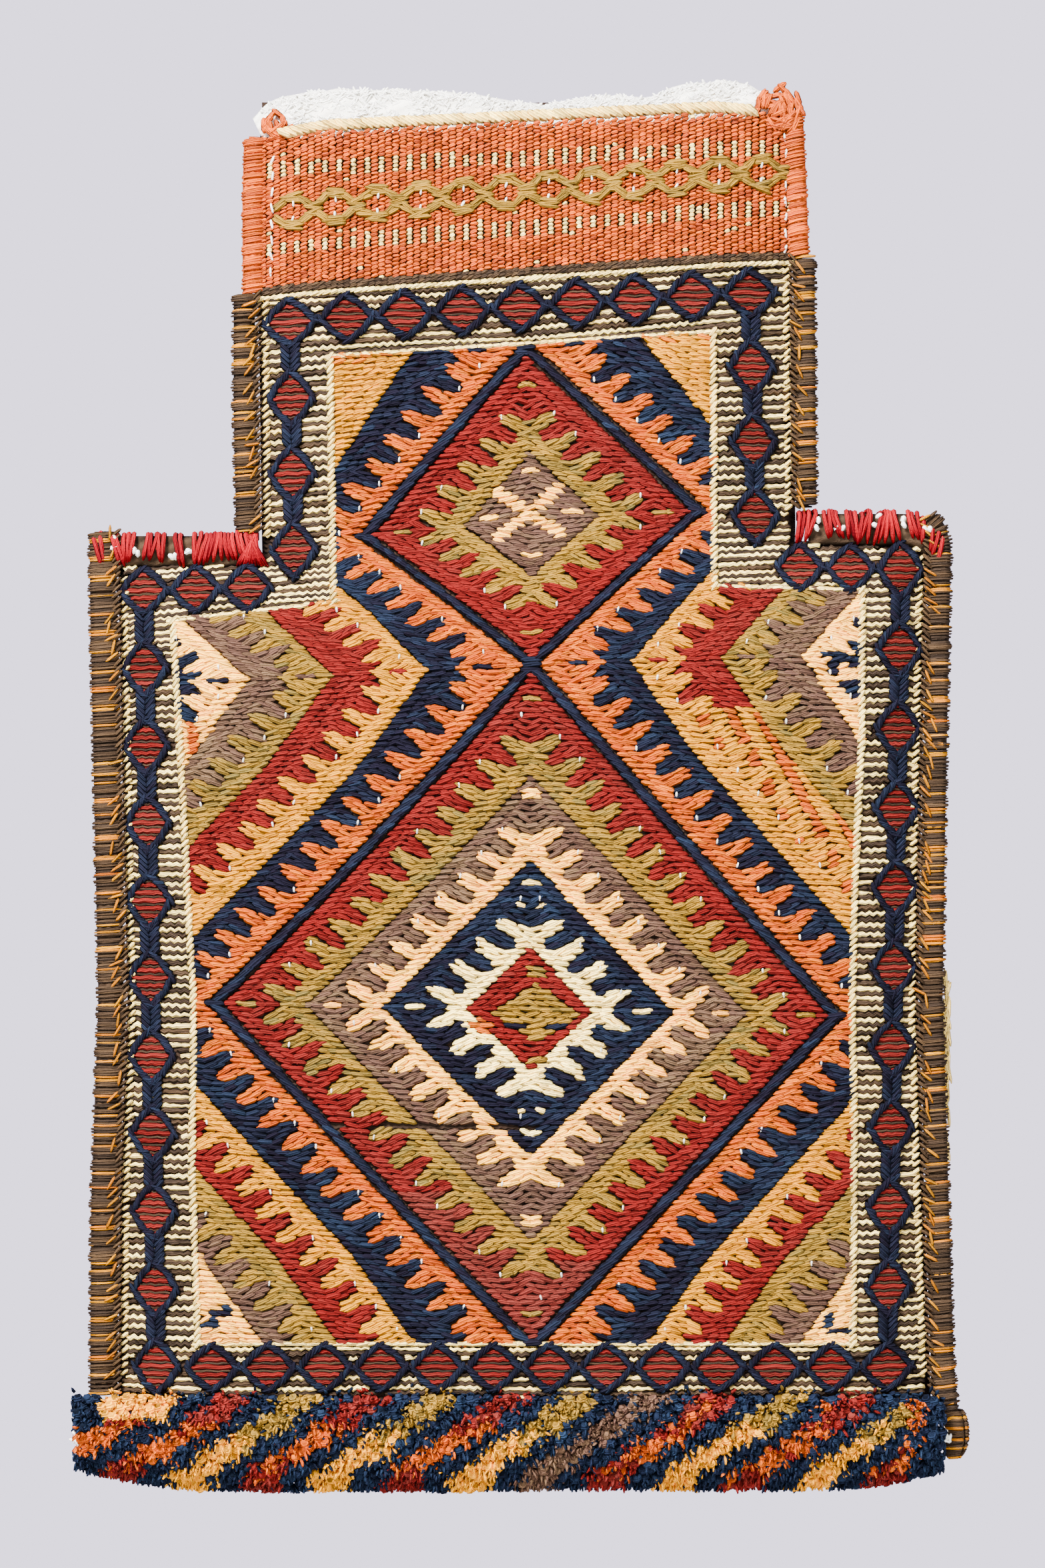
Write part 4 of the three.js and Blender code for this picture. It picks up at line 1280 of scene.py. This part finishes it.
def tuft_strands(root, out, core, mean_tint, rng):
    """One strand of every knot: its thick core, or one of the loose ends round it"""
    count = len(root)
    shares = np.array([0, 0.4, 0.8, 1.0] if core else [0, 0.6, 1.0])
    thick = 2.2 * np.array([0.9, 1.0, 0.95, 0.6]) if core else 0.78 * np.array([0.85, 1.0, 0.5])
    lean = rng.normal(0, 0.12 if core else 0.46, (count, 3))
    tip = out + lean
    tip /= np.linalg.norm(tip, axis=1, keepdims=True)
    reach = rng.normal(3.5 if core else 4.5, 0.35, (count, 1))
    foot = root + lean * (0.8 if core else 2.5) - out * 1.2
    droop = -0.7 * shares[None, :, None] * np.array([0, 1, 0.5])
    lines = foot[:, None] + shares[None, :, None] * (tip * reach)[:, None] + droop
    lines[..., 0] = np.clip(lines[..., 0], PILE_LEFT - 2.4, PILE_RIGHT + 2.4)
    lines[..., 1] = np.maximum(lines[..., 1], -274.2)
    lines[..., 1] += corner_lift(lines[..., 0], lines[..., 1])
    lines[..., 2] = np.maximum(lines[..., 2], 0.7)
    return sweep(
        lines, thick, thick, sides=6 if core else 3, ups=np.array([1.0, 0.2, 0]),
        chance=rng.random(count), tint=shades(rng, mean_tint, 0.25, count),
    )


def add_pile():
    """Knotted pile across the foot, one piece for each wool"""
    rng = seeded("pile")
    x, y, z, out_y, out_z = pile_knots(sizes()["tuft_pitch"])
    count = len(x)
    yarn = pile_yarn(x, y, rng)
    sag = 1.2 * np.sin(x / 38) + 0.8 * np.sin(x / 13)
    x = x + rng.normal(0, 0.5, count)
    y = y + rng.normal(0, 0.4, count) + np.where(y < -262, 0.5 * sag, 0)
    root = np.stack([x, y, z], axis=1)
    out = np.stack([rng.normal(0, 0.16, count), out_y * 0.9 - 0.25, out_z], axis=1)
    out /= np.linalg.norm(out, axis=1, keepdims=True)
    for wool_name in sorted(set(yarn)):
        chosen = yarn == wool_name
        mean_tint = -0.1 if wool_name == "gold" else 0.25
        batches = [
            tuft_strands(root[chosen], out[chosen], strand == 0, mean_tint, rng)
            for strand in range(9)
        ]
        nodes = ["pile_foot"] if wool_name == "navy" else []
        add_yarn(f"{wool_name}_pile", wool_name, batches, *nodes, slot="pile")


def add_pile_ground():
    """Woven ground that carries the knots"""
    rng = seeded("pile ground")
    profile = np.concatenate([PILE_PROFILE, [(-266, 1.2), (-262, 3.4), (-250, 9.5), (-238, 12.6)]])
    middle = profile.mean(axis=0)
    ring = middle + (profile - middle) * 0.97
    xs = np.linspace(PILE_LEFT - 0.8, PILE_RIGHT - 1, 60)
    points = np.array([(x, y + corner_lift(x, y), z) for x in xs for y, z in ring])
    yarn = np.zeros(points.shape)
    yarn[:, 0] = points[:, 0]
    batch = {
        "points": points, "faces": skin(1, len(xs), len(ring)), "yarn": yarn,
        "tint": rng.random(len(points)) * 0.3,
    }
    add_yarn("pile_ground", "navy", [batch], slot="pile")


def add_corner_knot():
    """Wound end of the right binding, which closes the corner of the foot"""
    rng = seeded("knot")
    count, x, z = 19, 167.2, 5.4
    at = np.linspace(-243.5, -261, count)
    swell = np.sqrt(np.clip(1.08 - ((at + 251.5) / 10.2) ** 2, 0.12, None))
    turn = np.linspace(0, 1.9 * np.pi, 14)
    golden = np.arange(count) % 4 == 2
    for name, yarn, chosen, nodes in (
        ("corner_knob", "brown", ~golden, ["corner_knot"]),
        ("corner_knob_gold_strands", "gold", golden, []),
    ):
        batches = []
        for y, wide in zip(at[chosen], swell[chosen]):
            tilt = rng.normal(0, 0.1)
            away = np.stack([
                np.cos(turn + 1) * 5.2 * wide, np.cos(turn) * tilt * 5,
                np.sin(turn + 1) * 4.4 * wide,
            ], axis=1)
            line = np.array([x, y, z]) + away
            batches.append(sweep(
                line[None], 0.85, 0.7, 4, away[None], rng.random(1), rng.random(1) * 0.8,
            ))
        if yarn == "brown":
            core = np.stack([np.full(count, x), at, np.full(count, z)], axis=1)
            batches.append(tube(core, 4.6 * swell, 3.8 * swell, 8, rng))
        add_yarn(name, yarn, batches, *nodes)


# Cloth

def cloth_outline(spacing=5.0):
    """Cloth's outline as evenly spaced places, the mouth's edge last"""
    places = []
    for start, end in zip(EDGE, np.roll(EDGE, -1, axis=0)):
        count = max(1, int(np.hypot(*(end - start)) / spacing))
        places += [start + (end - start) * k / count for k in range(count)]
    return np.array(places)


def add_cloth():
    """The folded cloth: front and back meet at the seams and the foot, and the mouth is open"""
    outline = cloth_outline()
    grid_x, grid_y = np.meshgrid(np.arange(-155, 158, 5.0), np.arange(-262, 264, 5.0))
    grid = np.stack([grid_x.ravel(), grid_y.ravel()], axis=1)
    clear = inside(*grid.T, EDGE) & (distance_to(*grid.T, EDGE, closed=True) > 3)
    places = np.concatenate([outline, grid[clear]])
    rim = len(outline)
    edges = [(k, (k + 1) % rim) for k in range(rim)]
    flat, _, faces, *_ = delaunay_2d_cdt([Vector(p) for p in places], edges, [], 1, 1e-4)
    x, y = np.array(flat).T
    front_z = face_height(x, y) - CLOTH / 2
    back_z = np.full(len(x), CLOTH / 2)
    at_mouth = y > 265.9
    seam = np.zeros(len(x), bool)
    seam[:rim] = ~at_mouth[:rim]
    middle_z = (EDGE_HEIGHT + CLOTH) / 2 - 0.4
    front_z = np.where(seam, middle_z, front_z)
    lip = np.interp(x, (LIP_LEFT[0], LIP_RIGHT[0]), (LIP_LEFT[1], LIP_RIGHT[1]))
    front_y = np.where(at_mouth, lip, np.where(y > lip - 3, lip - 3 + (y - lip + 3) * 0.15, y))
    count = len(x)
    back_index = np.arange(count) + count
    back_index[seam] = np.flatnonzero(seam)
    points = np.concatenate([
        np.stack([x, front_y, front_z], axis=1), np.stack([x, y, back_z], axis=1),
    ]) * MM
    front_faces = [tuple(face) for face in faces]
    back_faces = [tuple(int(back_index[k]) for k in reversed(face)) for face in faces]
    mesh = bpy.data.meshes.new("bag_cloth")
    mesh.from_pydata([tuple(p) for p in points], [], front_faces + back_faces)
    mesh.polygons.foreach_set("use_smooth", np.ones(len(mesh.polygons), bool))
    mesh.validate()
    piece = add_piece("bag_cloth", mesh, cloth_material(), "ground_weave", ["folded_cloth"])
    bpy.context.view_layer.objects.active = piece
    for other in bpy.context.selected_objects:
        other.select_set(False)
    piece.select_set(True)
    bpy.ops.object.mode_set(mode="EDIT")
    bpy.ops.mesh.select_all(action="SELECT")
    bpy.ops.mesh.delete_loose()
    bpy.ops.object.mode_set(mode="OBJECT")
    wall = piece.modifiers.new("Wall", "SOLIDIFY")
    wall.thickness = CLOTH * MM
    wall.offset = 0
    wall.use_even_offset = False
    bpy.ops.object.modifier_apply(modifier=wall.name)


# Materials

# Second colour of each wool
SECOND = {
    "navy": (0.009, 0.015, 0.03), "red": (0.095, 0.017, 0.0125), "salmon": (0.42, 0.085, 0.002),
    "gold": (0.38, 0.07, 0.002), "olive": (0.086, 0.066, 0.018), "taupe": (0.105, 0.062, 0.031),
    "peach": (0.72, 0.26, 0.04), "cream": (0.6, 0.36, 0.08), "brown": (0.068, 0.038, 0.018),
    "scarlet": (0.11, 0.002, 0.0055), "rust": (0.24, 0.032, 0.009), "white": (0.92, 0.84, 0.66),
}

# Main and second colour of the wools whose pile isn't just brighter than their yarn. These, like
# the brighter copies, are painted lighter than the same wool's yarn, as painted light against the
# shade among the tufts
PILE_WOOL = {
    "navy": ((0.006, 0.0085, 0.021), (0.013, 0.026, 0.055)),
    "gold": ((0.82, 0.33, 0.0015), (0.82, 0.22, 0.004)),
}


class Shading:
    """A new material, with a short way to add each kind of node"""

    def __init__(self, name):
        self.material = bpy.data.materials.new(name)
        self.material.use_nodes = True
        self.nodes = self.material.node_tree.nodes
        self.shader = self.nodes["Principled BSDF"].inputs
        self.join(0.9, self.shader["Roughness"])
        self.join(0.04, self.shader["Specular IOR Level"])

    def join(self, source, target):
        """Gives an input an output, a plain number or a colour"""
        if isinstance(source, (int, float)):
            target.default_value = source
        elif isinstance(source, tuple):
            target.default_value = (*source, 1)
        else:
            self.material.node_tree.links.new(source, target)

    def place(self):
        """Place on the object, in metres"""
        return self.nodes.new("ShaderNodeTexCoord").outputs["Object"]

    def attribute(self, name, output):
        """Output of one of the mesh's attributes"""
        node = self.nodes.new("ShaderNodeAttribute")
        node.attribute_name = name
        return node.outputs[output]

    def parts(self, vector):
        """X, Y and Z of a vector"""
        node = self.nodes.new("ShaderNodeSeparateXYZ")
        self.join(vector, node.inputs[0])
        return node.outputs

    def maths(self, operation, *values):
        """Output of a math node"""
        node = self.nodes.new("ShaderNodeMath")
        node.operation = operation
        for value, socket in zip(values, node.inputs):
            self.join(value, socket)
        return node.outputs[0]

    def total(self, start, *shares):
        """A value with a share of each other one added"""
        for source, share in shares:
            start = self.maths("MULTIPLY_ADD", source, share, start)
        return start

    def mixed(self, factor, first, second, blend="MIX"):
        """Output of a colour mix"""
        node = self.nodes.new("ShaderNodeMix")
        node.data_type = "RGBA"
        node.blend_type = blend
        for value, name in ((factor, "Factor"), (first, "A"), (second, "B")):
            self.join(value, node.inputs[name])
        return node.outputs["Result"]

    def noise(self, vector, scale, detail=2.0):
        """Output of a noise texture"""
        node = self.nodes.new("ShaderNodeTexNoise")
        for value, name in ((vector, "Vector"), (scale, "Scale"), (detail, "Detail")):
            self.join(value, node.inputs[name])
        return node.outputs["Fac"]

    def finished(self, colour, height, strength, distance):
        """The material, once its colour and its relief are joined to the shader"""
        self.join(colour, self.shader["Base Color"])
        bump = self.nodes.new("ShaderNodeBump")
        for value, name in ((strength, "Strength"), (distance, "Distance"), (height, "Height")):
            self.join(value, bump.inputs[name])
        self.join(bump.outputs[0], self.shader["Normal"])
        return self.material


def wool_material(yarn, pile=False):
    """Spun wool: plies along the strand, fine fibres, and colour that changes by strand"""
    name = f"{yarn}_{'pile' if pile else 'wool'}"
    if name in bpy.data.materials:
        return bpy.data.materials[name]
    wool_shading = Shading(name)
    maths, total = wool_shading.maths, wool_shading.total
    along, across, chance = wool_shading.parts(wool_shading.attribute("yarn", "Vector"))
    tint = wool_shading.attribute("tint", "Fac")
    place = wool_shading.place()
    fibres = wool_shading.noise(place, 1400 if pile else 900, 3)
    cloud = wool_shading.noise(place, 60)
    phase = total(maths("MULTIPLY", across, 8.2), (along, 0.5), (fibres, 1.6), (chance, 9.0))
    ply = maths("MULTIPLY_ADD", maths("SINE", phase), 0.5, 0.5)

    main, second = colour_of(yarn), SECOND[yarn]
    if pile:
        # Painted light: the pile's wool is made brighter than its yarn to make up for the shade
        # among the tufts
        brighter = [tuple(min(0.95, 1.5 * c) for c in each) for each in (main, second)]
        main, second = PILE_WOOL.get(yarn, brighter)
    share = total(-0.1, (tint, 0.85), (cloud, 0.3))
    share = maths("MAXIMUM", maths("MINIMUM", share, 1.0), 0.0)
    colour = wool_shading.mixed(share, main, second)
    # Brightness of each strand: its own tone by strand and fibre, times painted shade that darkens
    # the valleys between plies (ply) and the strand's sides (across squared)
    light = maths("SUBTRACT", total(0.53, (chance, 0.6), (ply, 0.62)), 0.2)
    light = total(light, (fibres, 0.5), (maths("MULTIPLY", across, across), -0.68))
    light = maths("MAXIMUM", light, 0.12)
    # White wool keeps less of the painted shade
    if yarn == "white":
        light = maths("MULTIPLY_ADD", light, 0.45, 0.58)
    # The tone and the painted shade, as a grey that multiplies the colour
    painted_shade_and_tone = wool_shading.nodes.new("ShaderNodeCombineColor")
    for socket in painted_shade_and_tone.inputs[:3]:
        wool_shading.join(light, socket)
    colour = wool_shading.mixed(1.0, colour, painted_shade_and_tone.outputs[0], "MULTIPLY")
    height = total(maths("MULTIPLY", ply, 0.7), (fibres, 0.8))
    return wool_shading.finished(colour, height, 0.9, 0.0003 if yarn == "white" else 0.0006)


def cloth_material():
    """Plain weave of the cloth: dark brown above, and brick red with cream bands on the back"""
    cloth = Shading("cloth_weave")
    maths, mixed = cloth.maths, cloth.mixed
    place = cloth.place()
    x, y, z = cloth.parts(place)
    rib = maths("SINE", maths("MULTIPLY", x, 2300.0))
    pick = maths("MULTIPLY_ADD", y, 3400.0, maths("MULTIPLY", rib, 0.9))
    pick = maths("SINE", pick)
    cloud, fine = cloth.noise(place, 90), cloth.noise(place, 1100, 3)
    stripe = maths("SINE", maths("MULTIPLY", y, 118.0))
    stripe = maths("GREATER_THAN", stripe, 0.72)
    # The front's dark brown is partly the ground's own colour and partly painted shade, for the
    # gaps between the stitches that lie on it
    front = mixed(cloud, (0.03, 0.018, 0.012), (0.014, 0.008, 0.006))
    underside = maths("LESS_THAN", z, 0.0008)
    band = maths("MULTIPLY", stripe, underside)
    back = mixed(cloud, (0.24, 0.03, 0.012), (0.15, 0.02, 0.012))
    colour = mixed(band, mixed(underside, front, back), (0.9, 0.62, 0.15))
    height = maths("MULTIPLY_ADD", fine, 0.5, maths("MULTIPLY", pick, 0.5))
    return cloth.finished(colour, height, 0.8, 0.0007)


# Stage

def add_stage():
    """Pale floor, soft light from above, and a camera that looks straight down"""
    bpy.ops.mesh.primitive_plane_add(size=8)
    floor = bpy.context.object
    floor.name = "floor"
    paint = Shading("floor_paint")
    paint.join((0, 0, 0), paint.shader["Base Color"])
    paint.join((0.859, 0.796, 1), paint.shader["Emission Color"])
    paint.join(2.3146, paint.shader["Emission Strength"])
    floor.data.materials.append(paint.material)

    world = bpy.context.scene.world or bpy.data.worlds.new("studio")
    bpy.context.scene.world = world
    world.use_nodes = True
    sky = world.node_tree.nodes["Background"].inputs
    sky["Color"].default_value = (1, 1, 1, 1)
    sky["Strength"].default_value = 1.75
    for name, place, size, power in (
        ("key_light", (-0.75, 1.35, 1.4), 0.6, 300), ("fill_light", (1.0, -0.9, 1.6), 1.2, 28),
    ):
        light = bpy.data.lights.new(name, "AREA")
        light.size = size
        light.energy = power
        lamp = bpy.data.objects.new(name, light)
        lamp.location = place
        lamp.rotation_euler = (-Vector(place)).to_track_quat("-Z", "Y").to_euler()
        bpy.context.scene.collection.objects.link(lamp)

    camera = bpy.data.cameras.new("camera")
    camera.lens = 100
    camera.sensor_fit = "VERTICAL"
    camera.sensor_height = 36
    frame_height = 0.6115
    eye = bpy.data.objects.new("camera", camera)
    eye.location = (-0.0008, 0.0005, frame_height * camera.lens / camera.sensor_height)
    bpy.context.scene.collection.objects.link(eye)
    bpy.context.scene.camera = eye


# Operators

def piece_operator(idname, label, doc, *makers):
    """Operator class that makes one group of pieces"""
    def execute(self, context):
        for maker in makers:
            maker()
        return {"FINISHED"}
    return type(
        f"SALTBAG_OT_{idname}", (bpy.types.Operator,),
        {"bl_idname": f"salt_bag.{idname}", "bl_label": label, "__doc__": doc,
         "bl_options": {"REGISTER", "UNDO"}, "execute": execute},
    )


OPERATORS = [piece_operator(*row) for row in (
    ("cloth", "Cloth", "Add the folded cloth", add_cloth),
    ("field", "Field", "Add the wrapped yarn of the field", add_field, add_lattice, add_warp_dots),
    ("border", "Border", "Add the border's weft lines, lozenges and cords",
     add_wefts, add_border_chain, add_border_cords),
    ("neck", "Neck", "Add the neck's plain weave and chain",
     add_neck_weave, add_neck_chain, add_neck_trim),
    ("mouth", "Mouth", "Add the mouth's cord, back lip and corners", add_mouth),
    ("bindings", "Bindings", "Add the wound bindings and selvages", add_bindings, add_selvages),
    ("shoulders", "Shoulders", "Add the scarlet loops and the loose ends",
     add_shoulders, add_loose_ends),
    ("pile", "Pile", "Add the knotted pile of the foot", add_pile_ground, add_pile),
    ("knot", "Corner Knob", "Add the knob at the right corner", add_corner_knot),
    ("stage", "Stage", "Add the floor, lights and camera", add_stage),
)]


class SALTBAG_PT_panel(bpy.types.Panel):
    """Sidebar panel that lists the bag's pieces, colours and sizes"""

    bl_label = "Salt Bag"
    bl_idname = "SALTBAG_PT_panel"
    bl_space_type = "VIEW_3D"
    bl_region_type = "UI"
    bl_category = "Salt Bag"

    def draw(self, context):
        for operator in OPERATORS:
            self.layout.operator(operator.bl_idname)
        for group in (context.scene.salt_bag_yarn, context.scene.salt_bag_wool):
            for key in type(group).__annotations__:
                self.layout.prop(group, key)


CLASSES = [WoolColours, YarnSizes, *OPERATORS, SALTBAG_PT_panel]


def register():
    for each in CLASSES:
        bpy.utils.register_class(each)
    bpy.types.Scene.salt_bag_wool = PointerProperty(type=WoolColours)
    bpy.types.Scene.salt_bag_yarn = PointerProperty(type=YarnSizes)


def unregister():
    del bpy.types.Scene.salt_bag_yarn
    del bpy.types.Scene.salt_bag_wool
    for each in reversed(CLASSES):
        bpy.utils.unregister_class(each)


def main():
    """Registers the classes, makes every piece and writes the sizes"""
    register()
    for operator in OPERATORS:
        group, name = operator.bl_idname.split(".")
        getattr(getattr(bpy.ops, group), name)()
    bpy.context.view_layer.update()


if __name__ == "__main__":
    main()
